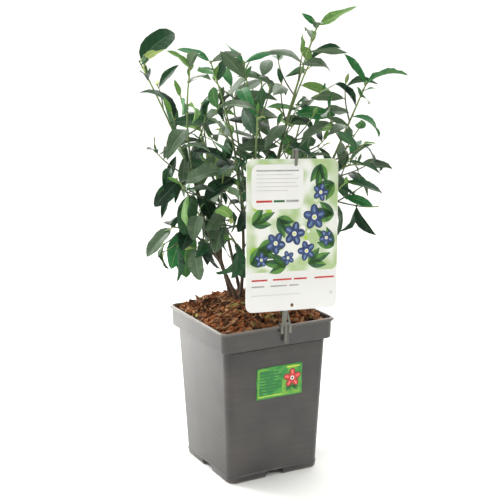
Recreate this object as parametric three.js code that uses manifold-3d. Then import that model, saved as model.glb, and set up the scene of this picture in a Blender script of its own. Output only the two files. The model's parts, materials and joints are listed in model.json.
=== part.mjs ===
// A young highbush blueberry in a square three litre nursery pot, with its picture label on a clip-on stake.
//
// Millimetres, +Z up. The origin is the middle of the pot's underside, the label side of the pot faces -Y.
// Canes rise from the bark mulch, some fork, and each one ends where its mass of leafy twigs takes over.
import * as THREE from "three";
import { mergeVertices } from "three/addons/utils/BufferGeometryUtils.js";
import Module from "manifold-3d";

const wasm = await Module();
wasm.setup();

// ---------------------------------------------------------------- driving dimensions

const GAP = 0.3; // clearance between neighbouring pieces

const POT = {
  height: 190,
  lipHalf: 75, // half the outer width at the rolled lip
  bandHalf: 72.3, // half the outer width at the foot of the wide band
  footHalf: 59.8, // half the outer width at the ground
  shoulderHalf: 67.2, // half the outer width just under the band
  shoulderZ: 165, // where the band begins
  lipDrop: 4, // height of the rolled lip
  wall: 2,
  floor: 2.5,
  corner: 9.7,
  lipCorner: 8,
};
const CHANNEL = { width: 24, height: 7.5, inner: 26, roof: 2, drain: 4 };

const SOIL = { edgeZ: 184, crownZ: 204, crownHalf: 28, relief: 3, rings: 6, seed: 7 };

const CARD = { width: 118, height: 170.5, thick: 0.8, corner: 8, topZ: 384, aside: -3, back: 6.3 };
const CARD_HOLE = { radius: 1.6, up: 4.6 };
const STAKE = { x: 3.2, lean: 4, width: 5, thick: 2.4, topZ: 394.5, hook: 18 };
const CLIP = { x: 6, half: 7, tabDrop: 9, tongueDrop: 20, catchDrop: 3.5, thick: 1.6, legTop: 214 };
const STICKER = { left: -27, right: 33.5, low: 101, high: 139.5, thick: 0.5 };

const LEAF = { length: 53, slim: 0.38, thick: 0.02, root: 0.4, small: 44, guard: 0.5 };
const TWIG = { base: 1.0, tip: 0.6, sides: 3, steps: 3, low: 78, top: 44 };
const CANE = { sides: 6, steps: 6, tip: 0.8, flare: 1.5, flareHeight: 14 };
const GROWTH = {
  turn: 137.5, // degrees from one leaf to the next round a shoot
  gap: 15, // from one leaf to the next along a shoot
  lowSpread: 84, // angle of the lowest leaves to their shoot, in degrees
  topSpread: 55,
  lowArch: 72, // how far the lowest leaves bend down over their length
  topArch: 44,
  tries: 5, // places that are tried for a twig or leaf before it is left off
  retry: 49, // degrees further round the shoot for each of them
  roll: 110, // range of a leaf's turn about its own midrib
  leafRoom: 8.5, // from a spot on one blade to the next blade's spots
  limbRoom: 5,
  labelRoom: 5,
};
const CROWN = { x: 13, y: -7, reach: 142, lowZ: 214, lowReach: 104 }; // the space that the leaves keep to

// One row per cane. lean is the compass angle of its tip in degrees (0 is +X, 90 is +Y), reach and height say how
// far out and how far above the mulch the tip is. belly, sway and arch bow the cane outwards, sideways and up at
// its middle. girth is the radius at its foot, bare the share of it that is bare cane, twigs its number of side
// twigs. leaf and slim are the length of its leaves and their width as a share of it, where they aren't the usual
// ones, spin turns them about it and hang is how far they are pulled down. crown has the leaves at its tip:
// compass angle, rise, length, bend and roll of each. A cane with from and at forks off that other cane, at that
// share of its length.
const CANES = [
  { name: "west_tall", lean: 156, reach: 126, height: 285, belly: -9, sway: 0, arch: 2, girth: 2.2, bare: 0.46,
    twigs: 3, leaf: 47, spin: 136, hang: 0.7, crown: [[-24, 52, 60, 62, 62]] },
  { name: "west_front", lean: -168, reach: 85, height: 280, belly: 18, sway: -15, arch: 5, girth: 2.4,
    bare: 0.34, twigs: 5, leaf: 47, spin: 104, hang: 0.2, crown: [[-100, 62, 44, 70, 0], [170, 55, 34, 40, -40]] },
  { name: "north_west", lean: 146, reach: 45, height: 283, belly: -16, sway: -2, arch: 1, girth: 2.3, bare: 0.34,
    twigs: 4, leaf: 59, spin: 124, hang: 0.1, crown: [[160, 40, 44, 50, -40], [-20, 30, 40, 40, 30]] },
  { name: "middle", lean: 72, reach: 36, height: 278, belly: -3, sway: -11, arch: 0, girth: 2.3, bare: 0.4,
    twigs: 5, leaf: 44, spin: 30, hang: 0.1, crown: [[-30, 55, 52, 90, 25], [165, 55, 34, 25, -60]] },
  { name: "leader", lean: -42, reach: 80, height: 325, belly: -14, sway: -4, arch: 3, girth: 3.2, bare: 0.38,
    twigs: 4, leaf: 44, spin: 10, hang: 0.1, crown: [[-30, 28, 49, 5, 40], [150, 45, 23, 20, -50]] },
  { name: "east_tall", lean: -34, reach: 134, height: 258, belly: 4, sway: 0, arch: 8, girth: 2.6, bare: 0.45,
    twigs: 4, leaf: 44, spin: 234, hang: 0.1, crown: [[-27, 40, 53, 60, 15], [150, 62, 44, 30, -60]] },
  { name: "north_east", lean: 52, reach: 89, height: 258, belly: 0, sway: 0, arch: 1, girth: 2.4, bare: 0.4,
    twigs: 3, spin: 314, hang: 0.3, crown: [[30, 50, 47, 60, 40]] },
  { name: "east_mid", lean: 14, reach: 112, height: 211, belly: 0, sway: 0, arch: 4, girth: 2.2, bare: 0.4,
    twigs: 3, leaf: 55, spin: 102, hang: 0.4, crown: [[-10, 20, 51, 50, 40]] },
  { name: "back_west", lean: 95, reach: 118, height: 204, belly: 0, sway: 0, arch: 8, girth: 2.3, bare: 0.38,
    twigs: 3, leaf: 61, spin: 336, hang: 0.6, crown: [[100, 30, 51, 60, -30]] },
  { name: "back_east", lean: 30, reach: 128, height: 215, belly: 0, sway: 0, arch: 8, girth: 2.3, bare: 0.4,
    twigs: 4, leaf: 59, spin: 12, hang: 0.4, crown: [[40, 35, 51, 60, 20]] },
  { name: "front", lean: -109, reach: 60, height: 232, belly: 0, sway: 0, arch: 25, girth: 2.2, bare: 0.45,
    twigs: 3, leaf: 47, spin: 130, hang: 0.5, crown: [[-170, 40, 49, 70, -30]] },
  { name: "leader_fork", from: "leader", at: 0.24, lean: -6, reach: 78, height: 282, belly: -8, sway: 6, arch: 2,
    girth: 1.9, bare: 0.35, twigs: 3, spin: 178, hang: 0.1, crown: [[-20, 45, 44, 60, 30]] },
  { name: "east_low", from: "east_tall", at: 0.22, lean: -45, reach: 116, height: 148, belly: 6, sway: 0,
    arch: 13, girth: 1.7, bare: 0.3, twigs: 3, leaf: 64, spin: 150, hang: 0.6, crown: [[-25, -5, 49, 40, 40]] },
  { name: "east_wide", from: "east_tall", at: 0.34, lean: -12, reach: 136, height: 156, belly: 0, sway: 0,
    arch: 20, girth: 1.7, bare: 0.3, twigs: 2, leaf: 45, spin: 100, hang: 0.1, crown: [[-20, 0, 47, 30, 50]] },
  { name: "west_low", from: "west_tall", at: 0.14, lean: 161, reach: 92, height: 92, belly: 0, sway: 0, arch: 12,
    girth: 1.7, bare: 0.28, twigs: 4, leaf: 64, slim: 0.54, spin: 292, hang: 1.4, crown: [[165, -40, 47, 20, -30]] },
  { name: "front_west", from: "west_front", at: 0.16, lean: -145, reach: 64, height: 166, belly: 4, sway: 0,
    arch: 10, girth: 1.8, bare: 0.2, twigs: 5, leaf: 62, slim: 0.54, spin: 226, hang: 0.9,
    crown: [[170, 0, 51, 70, -50]] },
  { name: "front_low", from: "front", at: 0.1, lean: -165, reach: 42, height: 96, belly: 2, sway: 0, arch: 8,
    girth: 1.6, bare: 0.25, twigs: 4, leaf: 60, slim: 0.54, spin: 242, hang: 1.2, crown: [[-130, -10, 47, 40, 0]] },
  { name: "front_mid", from: "front", at: 0.2, lean: -138, reach: 42, height: 148, belly: 0, sway: 0, arch: 6,
    girth: 1.6, bare: 0.2, twigs: 5, leaf: 64, slim: 0.54, spin: 64, hang: 0.6, crown: [[-160, 10, 51, 60, -20]] },
  { name: "back_mid", from: "middle", at: 0.22, lean: 79, reach: 73, height: 246, belly: 6, sway: 0, arch: 3,
    girth: 1.8, bare: 0.3, twigs: 3, leaf: 63, spin: 68, hang: 0.2, crown: [[90, 50, 47, 50, 0]] },
  { name: "back_far", from: "north_east", at: 0.2, lean: 58, reach: 124, height: 224, belly: 4, sway: 0, arch: 8,
    girth: 1.8, bare: 0.3, twigs: 3, leaf: 49, spin: 106, hang: 0.2, crown: [[65, 35, 49, 60, 30]] },
];

const COLOURS = {
  pot: { color: 0x565453, roughness: 0.5, metalness: 0 },
  bark: { color: 0x6c472d, roughness: 0.95, metalness: 0 },
  cane: { color: 0x5b5a3c, roughness: 0.8, metalness: 0 },
  foliage: { color: 0x35603a, roughness: 0.55, metalness: 0 },
  card: { color: 0xe6e7e3, roughness: 0.4, metalness: 0 },
  clip: { color: 0x77766a, roughness: 0.5, metalness: 0 },
  sticker: { color: 0x3fa63f, roughness: 0.4, metalness: 0 },
};

// ---------------------------------------------------------------- small helpers

const rad = THREE.MathUtils.degToRad;
const lerp = THREE.MathUtils.lerp;
const vec = (x, y, z) => new THREE.Vector3(x, y, z);
const UP = vec(0, 0, 1);

/** A repeatable stream of numbers from 0 to 1. */
function stream(seed) {
  let state = seed >>> 0;
  return () => {
    state = (state + 0x6d2b79f5) >>> 0;
    let mixed = Math.imul(state ^ (state >>> 15), state | 1);
    mixed ^= mixed + Math.imul(mixed ^ (mixed >>> 7), mixed | 61);
    return ((mixed ^ (mixed >>> 14)) >>> 0) / 4294967296;
  };
}

/** A closed three.js geometry as a solid that can be joined and cut. */
function solidFrom(geometry) {
  const bare = geometry.index ? geometry.toNonIndexed() : geometry.clone();
  bare.deleteAttribute("normal");
  bare.deleteAttribute("uv");
  const merged = mergeVertices(bare, 1e-4);
  return new wasm.Manifold(
    new wasm.Mesh({
      numProp: 3,
      vertProperties: new Float32Array(merged.attributes.position.array),
      triVerts: new Uint32Array(merged.index.array),
    }),
  );
}

/** A solid as a geometry that a mesh can show. */
function geometryFrom(solid) {
  const mesh = solid.getMesh();
  const geometry = new THREE.BufferGeometry();
  geometry.setAttribute("position", new THREE.BufferAttribute(mesh.vertProperties, 3));
  geometry.setIndex(new THREE.BufferAttribute(mesh.triVerts, 1));
  return geometry;
}

/**
 * A closed skin over rings that all have the same number of points, wound anticlockwise as seen from ahead. It ends
 * in its last ring, or in a single point where one is given.
 */
function loft(rings, apex) {
  const sides = rings[0].length;
  const points = rings.flat();
  const faces = [];
  for (let r = 0; r + 1 < rings.length; r++)
    for (let i = 0; i < sides; i++) {
      const a = r * sides + i;
      const b = r * sides + ((i + 1) % sides);
      faces.push(a, b, b + sides, a, b + sides, a + sides);
    }
  const last = (rings.length - 1) * sides;
  for (let i = 1; i + 1 < sides; i++) faces.push(0, i + 1, i);
  if (apex) {
    points.push(apex);
    for (let i = 0; i < sides; i++) faces.push(last + i, last + ((i + 1) % sides), last + sides);
  } else {
    for (let i = 1; i + 1 < sides; i++) faces.push(last, last + i, last + i + 1);
  }
  const geometry = new THREE.BufferGeometry().setFromPoints(points);
  geometry.setIndex(faces);
  return geometry;
}

/** A solid box between two corners. */
function boxSolid(low, high) {
  const size = high.clone().sub(low);
  const middle = high.clone().add(low).multiplyScalar(0.5);
  return solidFrom(new THREE.BoxGeometry(size.x, size.y, size.z).translate(middle.x, middle.y, middle.z));
}

function mesh(name, geometry, finish) {
  const made = new THREE.Mesh(geometry, new THREE.MeshStandardMaterial(finish));
  made.name = name;
  return made;
}

// ---------------------------------------------------------------- pot

/** A square ring with rounded corners at one height, half its width from the axis to each side. */
function squareRing(half, corner, z, steps = 4) {
  const centre = half - corner;
  const ring = [];
  for (let quarter = 0; quarter < 4; quarter++)
    for (let i = 0; i <= steps; i++) {
      const angle = rad(90 * quarter + (90 * i) / steps);
      const cx = centre * Math.sign(Math.cos(rad(90 * quarter + 45)));
      const cy = centre * Math.sign(Math.sin(rad(90 * quarter + 45)));
      ring.push(vec(cx + corner * Math.cos(angle), cy + corner * Math.sin(angle), z));
    }
  return ring;
}

/** Half the outer width of the tapered body at a height. */
const bodyHalf = (z) => lerp(POT.footHalf, POT.shoulderHalf, z / POT.shoulderZ);
const bandTop = POT.bandHalf + 0.5;

/** The thin shell: up the outside with its band and lip, over the rim and down the inside to the floor. */
function potShell() {
  const { wall, corner, lipCorner, bandHalf, shoulderZ, lipHalf, lipDrop, height } = POT;
  const lipZ = height - lipDrop;
  return solidFrom(
    loft([
      squareRing(POT.footHalf - 1.2, corner - 1, 0),
      squareRing(bodyHalf(1.5), corner, 1.5),
      squareRing(bodyHalf(shoulderZ), corner, shoulderZ),
      squareRing(bandHalf - 0.8, lipCorner, shoulderZ),
      squareRing(bandHalf, lipCorner, shoulderZ + 1),
      squareRing(bandTop, lipCorner, lipZ),
      squareRing(lipHalf, lipCorner, lipZ + 0.8),
      squareRing(lipHalf, lipCorner, height - 0.8),
      squareRing(lipHalf - 0.8, lipCorner - 0.4, height),
      squareRing(lipHalf - wall - 1, lipCorner - 1.5, height),
      squareRing(bandTop - wall, lipCorner - wall, lipZ),
      squareRing(bandHalf - wall, lipCorner - wall, shoulderZ + 2.5),
      squareRing(bodyHalf(shoulderZ) - wall, corner - wall, shoulderZ - 1),
      squareRing(bodyHalf(0) - wall, corner - wall, POT.floor),
    ]),
  );
}

/** The four boxes, one to each side, that grow is added round: a drainage channel, or its roof. */
function channelBoxes(grow) {
  const { width, height, inner } = CHANNEL;
  const outer = bodyHalf(0) - POT.wall;
  return [0, 1, 2, 3].map((side) => {
    const low = vec(inner - grow, -width / 2 - grow, -1);
    const high = vec(grow > 0 ? outer + 0.5 : POT.footHalf + 5, width / 2 + grow, height + grow);
    if (grow > 0) low.z = 0.5;
    return boxSolid(low, high).rotate([0, 0, 90 * side]);
  });
}

/** The pot: shell, raised channel roofs, the channels that open through each wall's foot, and a drain in each. */
function potSolid() {
  let pot = potShell();
  for (const roof of channelBoxes(CHANNEL.roof)) pot = pot.add(roof);
  for (const channel of channelBoxes(0)) pot = pot.subtract(channel);
  const drainAt = (CHANNEL.inner + bodyHalf(0)) / 2;
  for (let side = 0; side < 4; side++) {
    const drain = new THREE.CylinderGeometry(CHANNEL.drain, CHANNEL.drain, 20, 12);
    drain.rotateX(rad(90)).translate(drainAt, 0, CHANNEL.height);
    pot = pot.subtract(solidFrom(drain).rotate([0, 0, 90 * side]));
  }
  return pot;
}

// ---------------------------------------------------------------- bark mulch

/** The mulch: fills the pot, rises to a flat crown in the middle, and is rough with bark chips between. */
function soilSolid() {
  const { edgeZ, crownZ, crownHalf, relief, rings } = SOIL;
  const inside = POT.wall + GAP;
  const edgeHalf = POT.bandHalf - inside;
  const made = [
    squareRing(bodyHalf(0) - inside, POT.corner - inside, POT.floor + GAP, 8),
    squareRing(bodyHalf(POT.shoulderZ) - inside, POT.corner - inside, POT.shoulderZ - 1, 8),
    squareRing(edgeHalf, POT.corner - inside, POT.shoulderZ + 3, 8),
    squareRing(edgeHalf, POT.corner - inside, edgeZ, 8),
  ];
  const chance = stream(SOIL.seed);
  for (let r = 1; r <= rings; r++) {
    const share = r / rings;
    const half = lerp(edgeHalf, crownHalf, share);
    const last = r === rings;
    const z = lerp(edgeZ, crownZ, Math.sin(rad(90 * share)));
    const ring = squareRing(half, lerp(POT.corner, crownHalf * 0.7, share), z, 8);
    for (const point of ring) {
      const lift = (chance() - 0.5) * 2 * relief;
      const shift = (chance() - 0.5) * relief;
      if (last) continue;
      point.z += lift;
      point.x += shift;
    }
    made.push(ring);
  }
  let soil = solidFrom(loft(made));
  for (const roof of channelBoxes(CHANNEL.roof + GAP)) soil = soil.subtract(roof);
  return soil;
}

// ---------------------------------------------------------------- canes

/** A limb's axis: from its foot to its tip, bowed at its middle. */
class Limb {
  constructor(foot, tip, bow, girth, tipGirth, flare) {
    Object.assign(this, { foot, tip, bow, girth, tipGirth, flare });
  }
  /** The point at a share of the length. */
  at(t) {
    return this.foot
      .clone()
      .lerp(this.tip, t)
      .addScaledVector(this.bow, 4 * t * (1 - t));
  }
  /** The direction at a share of the length. */
  along(t) {
    return this.tip
      .clone()
      .sub(this.foot)
      .addScaledVector(this.bow, 4 * (1 - 2 * t))
      .normalize();
  }
  /** The radius at a share of the length, with the root flare at the foot of a cane. */
  radius(t) {
    const plain = lerp(this.girth, this.tipGirth, t ** 0.8);
    const above = (t * this.length()) / CANE.flareHeight;
    return this.flare ? plain * (1 + (CANE.flare - 1) * Math.max(0, 1 - above) ** 2) : plain;
  }
  /** Points every few millimetres between two shares of its length. */
  spots(from, to) {
    const count = Math.ceil(((to - from) * this.length()) / 7);
    return Array.from({ length: count + 1 }, (_, i) => this.at(lerp(from, to, i / count)));
  }
  length() {
    return this.foot.distanceTo(this.tip) + (this.bow.length() ** 2 * 2) / this.foot.distanceTo(this.tip);
  }
}

/** A polygon of a given radius across a direction. */
function crossRing(centre, along, radius, sides, flat = false) {
  const normal = flat ? UP : along;
  const first = vec(1, 0.13, 0).addScaledVector(normal, -vec(1, 0.13, 0).dot(normal)).normalize();
  const second = normal.clone().cross(first);
  return Array.from({ length: sides }, (_, i) => {
    const angle = (2 * Math.PI * i) / sides;
    return centre
      .clone()
      .addScaledVector(first, radius * Math.cos(angle))
      .addScaledVector(second, radius * Math.sin(angle));
  });
}

/** The stretch of a limb between two shares of its length, thicker by extra all over. */
function limbSolid(limb, from, to, sides, steps, extra = 0, flatFoot = false) {
  const rings = [];
  for (let i = 0; i <= steps; i++) {
    const t = lerp(from, to, i / steps);
    rings.push(crossRing(limb.at(t), limb.along(t), limb.radius(t) + extra, sides, flatFoot && i === 0));
  }
  return solidFrom(loft(rings));
}

/** The axis of each cane, those from the mulch first and then the forks, by name. */
function layOutCanes() {
  const limbs = new Map();
  for (const cane of CANES) {
    const out = vec(Math.cos(rad(cane.lean)), Math.sin(rad(cane.lean)), 0);
    const parent = limbs.get(cane.from);
    const foot = parent
      ? parent.at(cane.at)
      : out.clone().multiplyScalar(6 + 0.13 * cane.reach).setZ(SOIL.crownZ + GAP);
    const tip = out.clone().multiplyScalar(cane.reach).setZ(SOIL.crownZ + cane.height);
    const bow = out
      .clone()
      .multiplyScalar(cane.belly)
      .addScaledVector(UP.clone().cross(out), cane.sway)
      .setZ(cane.arch);
    limbs.set(cane.name, new Limb(foot, tip, bow, cane.girth, CANE.tip, !parent));
  }
  return limbs;
}

/** The bare cane from the mulch, or from its parent with a saddle cut into its foot, to where its leaves begin. */
function caneSolid(cane, limbs) {
  const limb = limbs.get(cane.name);
  const solid = limbSolid(limb, 0, cane.bare, CANE.sides, CANE.steps, 0, !cane.from);
  if (!cane.from) return solid;
  const parent = limbs.get(cane.from);
  const saddle = limbSolid(parent, 0, 1, CANE.sides, 2 * CANE.steps, GAP);
  const pieces = solid.subtract(saddle).decompose();
  return pieces.sort((a, b) => b.volume() - a.volume())[0];
}

// ---------------------------------------------------------------- growth

/** The direction with a compass angle and a rise, both in degrees. */
function heading(lean, rise) {
  return vec(Math.cos(rad(lean)) * Math.cos(rad(rise)), Math.sin(rad(lean)) * Math.cos(rad(rise)), Math.sin(rad(rise)));
}

/** Sideways from a shoot, at an angle round it. */
function outwardFrom(shoot, turn) {
  const first = vec(-0.13, 1, 0).cross(shoot).normalize();
  const second = shoot.clone().cross(first);
  return first.multiplyScalar(Math.cos(turn)).addScaledVector(second, Math.sin(turn));
}

/** A leaf's plan: where it is rooted, which way it runs and faces, its size, and its bend in radians. */
class Leaf {
  constructor(root, along, face, length, slim, arch) {
    const side = face.clone().cross(along).normalize();
    const up = along.clone().cross(side).normalize();
    Object.assign(this, { root, along, side, up, length, width: length * slim, arch: Math.max(arch, 0.01) });
  }
  /** A point of the blade, at a share of its length and so far to the side of its midrib. */
  point(share, aside = 0) {
    const turned = this.arch * share;
    return this.root
      .clone()
      .addScaledVector(this.along, (Math.sin(turned) / this.arch) * this.length)
      .addScaledVector(this.up, ((Math.cos(turned) - 1) / this.arch) * this.length)
      .addScaledVector(this.side, aside);
  }
  /** The spots that keep its blade clear of other blades. */
  spots() {
    const aside = 0.35 * this.width;
    return [this.point(0.4), this.point(0.7), this.point(1), this.point(0.55, aside), this.point(0.55, -aside)];
  }
}

/** The spots that limbs and blades have taken, each with the room it needs. */
class Crown {
  constructor() {
    this.limbSpots = [];
    this.leafSpots = [];
  }
  takeLimb(limb, from, to) {
    this.limbSpots.push(...limb.spots(from, to));
  }
  /** Whether any of these points is too near the label, the mulch, a limb or a blade. */
  crowded(points, leafRoom) {
    return points.some(
      (point) =>
        outOfSpace(point) ||
        this.limbSpots.some((spot) => spot.distanceTo(point) < GROWTH.limbRoom) ||
        this.leafSpots.some((spot) => spot.distanceTo(point) < leafRoom),
    );
  }
}

/** Whether a point is where the label and its stake are, too low over the mulch, or outside the crown's space. */
function outOfSpace(point) {
  const onCard = cardFrame.clone().invert();
  const local = point.clone().applyMatrix4(onCard);
  const room = GROWTH.labelRoom;
  const beside = Math.abs(local.x) < CARD.width / 2 + room;
  const below = local.z < STAKE.hook && local.z > -CARD.height - room;
  const inCard = beside && below && Math.abs(local.y) < 2 * room;
  const stakeY = -POT.lipHalf - CLIP.thick;
  const byStake = Math.hypot(point.x - CLIP.x - 6, point.y - stakeY) < 2 * room && point.z < STAKE.topZ + room;
  const reach = Math.min(CROWN.reach, CROWN.lowReach + 0.45 * (point.z - CROWN.lowZ));
  const outside = Math.hypot(point.x - CROWN.x, point.y - CROWN.y) > reach;
  return inCard || byStake || outside || point.z < CROWN.lowZ;
}

/** The side twigs of a cane's leafy end, spaced along it, each curving up and out to its own tip. */
function growTwigs(cane, limb, crown, chance) {
  const twigs = [];
  for (let k = 0; k < cane.twigs; k++) {
    const share = (k + 0.5) / cane.twigs;
    const t = lerp(cane.bare + 0.04, 0.86, share);
    const shoot = limb.along(t);
    const turn = rad(cane.spin + 100 + 2 * GROWTH.turn * k + 40 * (chance() - 0.5));
    const length = lerp(TWIG.low, TWIG.top, share) * (0.8 + 0.4 * chance());
    for (let attempt = 0; attempt < GROWTH.tries; attempt++) {
      const outward = outwardFrom(shoot, turn + rad(GROWTH.retry * attempt));
      const foot = limb.at(t);
      const tip = foot.clone().addScaledVector(shoot, 0.7 * length).addScaledVector(outward, 0.72 * length);
      tip.z -= 0.3 * cane.hang * length;
      const bow = outward.clone().multiplyScalar(0.1 * length);
      const twig = new Limb(foot, tip, bow, Math.min(TWIG.base, limb.radius(t)), TWIG.tip, false);
      if (crown.crowded(twig.spots(0.3, 1), GROWTH.limbRoom)) continue;
      crown.takeLimb(twig, 0, 1);
      twigs.push(twig);
      break;
    }
  }
  return twigs;
}

/** How long a leaf is at a share of its shoot: middling at the foot, longest in the middle, short at the tip. */
const leafScale = (share) => 0.72 + 0.5 * share - 0.72 * share ** 3;

/** The leaves round a limb from one share of its length to its tip, except those that find no room. */
function growLeaves(cane, limb, from, length, spin, crown, chance) {
  const count = Math.max(2, Math.round(((1 - from) * limb.length()) / GROWTH.gap));
  const leaves = [];
  for (let k = 0; k < count; k++) {
    const share = ((k + 0.6) / count) ** 0.9;
    const t = lerp(from, 1, share);
    const shoot = limb.along(t);
    const turn = rad(spin + GROWTH.turn * k + 24 * (chance() - 0.5));
    const spread = rad(lerp(GROWTH.lowSpread, GROWTH.topSpread, share) + 24 * (chance() - 0.5));
    const pull = cane.hang * (1.15 - share) * (0.5 + chance());
    const roll = rad(GROWTH.roll * (chance() - 0.5));
    const size = length * leafScale(share) * (0.82 + 0.36 * chance());
    const arch = rad(lerp(GROWTH.lowArch, GROWTH.topArch, share) * (0.3 + 1.4 * chance()));
    for (let attempt = 0; attempt < GROWTH.tries; attempt++) {
      const outward = outwardFrom(shoot, turn + rad(GROWTH.retry * attempt));
      const along = shoot.clone().multiplyScalar(Math.cos(spread)).addScaledVector(outward, Math.sin(spread));
      along.z -= pull;
      along.normalize();
      const face = UP.clone().addScaledVector(outward, 0.35).applyAxisAngle(along, roll);
      const leaf = new Leaf(limb.at(t), along, face, size, cane.slim ?? LEAF.slim, arch);
      if (crown.crowded(leaf.spots(), GROWTH.leafRoom)) continue;
      crown.leafSpots.push(...leaf.spots());
      leaves.push(leaf);
      break;
    }
  }
  return leaves;
}

/** The leaves at a cane's very tip, which give the crown its outline. */
function growCrownLeaves(cane, limb, crown) {
  return cane.crown.map(([lean, rise, length, bend, roll]) => {
    const along = heading(lean, rise);
    const face = UP.clone().applyAxisAngle(along, rad(roll));
    const leaf = new Leaf(limb.at(0.995), along, face, length, cane.slim ?? LEAF.slim, rad(bend));
    crown.leafSpots.push(...leaf.spots());
    return leaf;
  });
}

/** Every mass's twigs and leaves: first the limbs find room, then the leaves at the tips, then the rest. */
function growCrown(limbs) {
  const crown = new Crown();
  for (const cane of CANES) crown.takeLimb(limbs.get(cane.name), 0, 1);
  const masses = CANES.map((cane, i) => {
    const limb = limbs.get(cane.name);
    const chance = stream(1000 * (i + 1));
    return { cane, limb, chance, twigs: growTwigs(cane, limb, crown, chance), leaves: [] };
  });
  for (const mass of masses) mass.leaves.push(...growCrownLeaves(mass.cane, mass.limb, crown));
  for (const { cane, limb, chance, twigs, leaves } of masses) {
    const length = cane.leaf ?? LEAF.length;
    leaves.push(...growLeaves(cane, limb, cane.bare + 0.03, length, cane.spin, crown, chance));
    twigs.forEach((twig, k) => {
      const spin = cane.spin + 70 * (k + 1);
      leaves.push(...growLeaves(cane, twig, 0.3, 0.92 * length, spin, crown, chance));
    });
  }
  return masses;
}

// ---------------------------------------------------------------- foliage

/** A leaf as a thin closed blade of three-sided sections, from a slim stalk end sunk in the twig to its point. */
function leafSolid(leaf, extra = 0) {
  const section = (share, half, thick) => [
    leaf.point(share, -half - extra).addScaledVector(leaf.up, extra),
    leaf.point(share).addScaledVector(leaf.up, -thick - extra),
    leaf.point(share, half + extra).addScaledVector(leaf.up, extra),
  ];
  const thick = LEAF.thick * leaf.length;
  const stations = leaf.length > LEAF.small ? [0.3, 0.64] : [0.45];
  const sections = stations.map((share) => section(share, 0.44 * leaf.width, thick));
  return solidFrom(loft([section(0, LEAF.root, LEAF.root), ...sections], leaf.point(1)));
}

/** Boxes round solids, so that only near neighbours are tested. */
function boundsOf(solid) {
  const box = solid.boundingBox();
  return new THREE.Box3(vec(...box.min), vec(...box.max));
}

/** The pieces placed so far. A twig or leaf that would touch one of another node is left off. */
class Space {
  constructor() {
    this.taken = [];
  }
  take(owner, solid) {
    this.taken.push({ owner, solid, box: boundsOf(solid) });
  }
  clashes(owner, solid) {
    const box = boundsOf(solid);
    return this.taken.some(
      (piece) => piece.owner !== owner && piece.box.intersectsBox(box) && piece.solid.intersect(solid).volume() > 1e-6,
    );
  }
}

/** The leafy end of a cane's own axis, which starts just clear of the bare cane's tip. */
function shootSolid(cane, limb) {
  return limbSolid(limb, cane.bare + GAP / limb.length(), 1, TWIG.sides, 6);
}

/** One mass of foliage: the leafy end of a cane, its side twigs and their leaves, fused into one solid. */
function foliageSolid(mass, shoot, space) {
  const owner = "foliage_" + mass.cane.name;
  const parts = [shoot];
  const join = (solid, guard) => {
    if (space.clashes(owner, guard)) return;
    parts.push(solid);
    space.take(owner, solid);
  };
  const twigSolid = (twig, extra) => limbSolid(twig, 0, 1, TWIG.sides, TWIG.steps, extra);
  for (const twig of mass.twigs) join(twigSolid(twig, 0), twigSolid(twig, LEAF.guard));
  for (const leaf of mass.leaves) join(leafSolid(leaf), leafSolid(leaf, LEAF.guard));
  const joined = wasm.Manifold.union(parts).simplify(0.05);
  return joined.decompose().sort((a, b) => b.volume() - a.volume())[0];
}

// ---------------------------------------------------------------- label, stake and sticker

/** A rectangle with rounded corners, centred on X with its foot on the X axis. */
function roundedCard(width, height, corner) {
  const half = width / 2;
  return new THREE.Shape()
    .moveTo(-half + corner, 0)
    .lineTo(half - corner, 0)
    .absarc(half - corner, corner, corner, rad(-90), 0)
    .lineTo(half, height - corner)
    .absarc(half - corner, height - corner, corner, 0, rad(90))
    .lineTo(-half + corner, height)
    .absarc(-half + corner, height - corner, corner, rad(90), rad(180))
    .lineTo(-half, corner)
    .absarc(-half + corner, corner, corner, rad(180), rad(270));
}

/** Where the stake's stem starts: just outside the pot's lip, leaning a little to the right. */
const stakeFrame = new THREE.Matrix4()
  .makeRotationY(rad(STAKE.lean))
  .setPosition(STAKE.x, -POT.lipHalf - CLIP.thick / 2 - GAP, POT.height);

/** Where the card hangs: its origin is the middle of its top edge, against the stem, and its foot swings forward. */
const cardFrame = new THREE.Matrix4()
  .makeRotationX(rad(-CARD.back))
  .multiply(new THREE.Matrix4().makeRotationY(rad(STAKE.lean)))
  .setPosition(
    vec(CARD.aside, -STAKE.thick / 2 - GAP - CARD.thick / 2, CARD.topZ - POT.height).applyMatrix4(stakeFrame),
  );

/** The card, with its lower punched hole. */
function cardMesh() {
  const outline = roundedCard(CARD.width, CARD.height, CARD.corner);
  outline.holes.push(new THREE.Path().absarc(0, CARD_HOLE.up, CARD_HOLE.radius, 0, rad(360), true));
  const plate = new THREE.ExtrudeGeometry(outline, { depth: CARD.thick, bevelEnabled: false, curveSegments: 3 });
  plate.rotateX(rad(90)).translate(0, CARD.thick / 2, -CARD.height);
  const made = mesh("label_card", plate, COLOURS.card);
  made.applyMatrix4(cardFrame);
  return made;
}

/** The stake: a stem behind the card, and a hook over the card's top edge and down its face. */
function stemSolid() {
  const half = STAKE.thick / 2;
  const width = STAKE.width / 2;
  const top = STAKE.topZ - POT.height;
  const swing = Math.sin(rad(CARD.back)) * (STAKE.hook + CARD.topZ - STAKE.topZ);
  const face = -half - 2 * GAP - CARD.thick - swing;
  const bar = (x, y0, y1, z0, z1) => boxSolid(vec(-x, y0, z0), vec(x, y1, z1));
  const stem = bar(width, -half, half, 1, top);
  const over = bar(width * 0.6, face - half, half, top - half, top);
  const down = bar(width * 0.6, face - half, face, top - STAKE.hook, top);
  return stem.add(over).add(down).transform(stakeFrame.elements);
}

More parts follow.
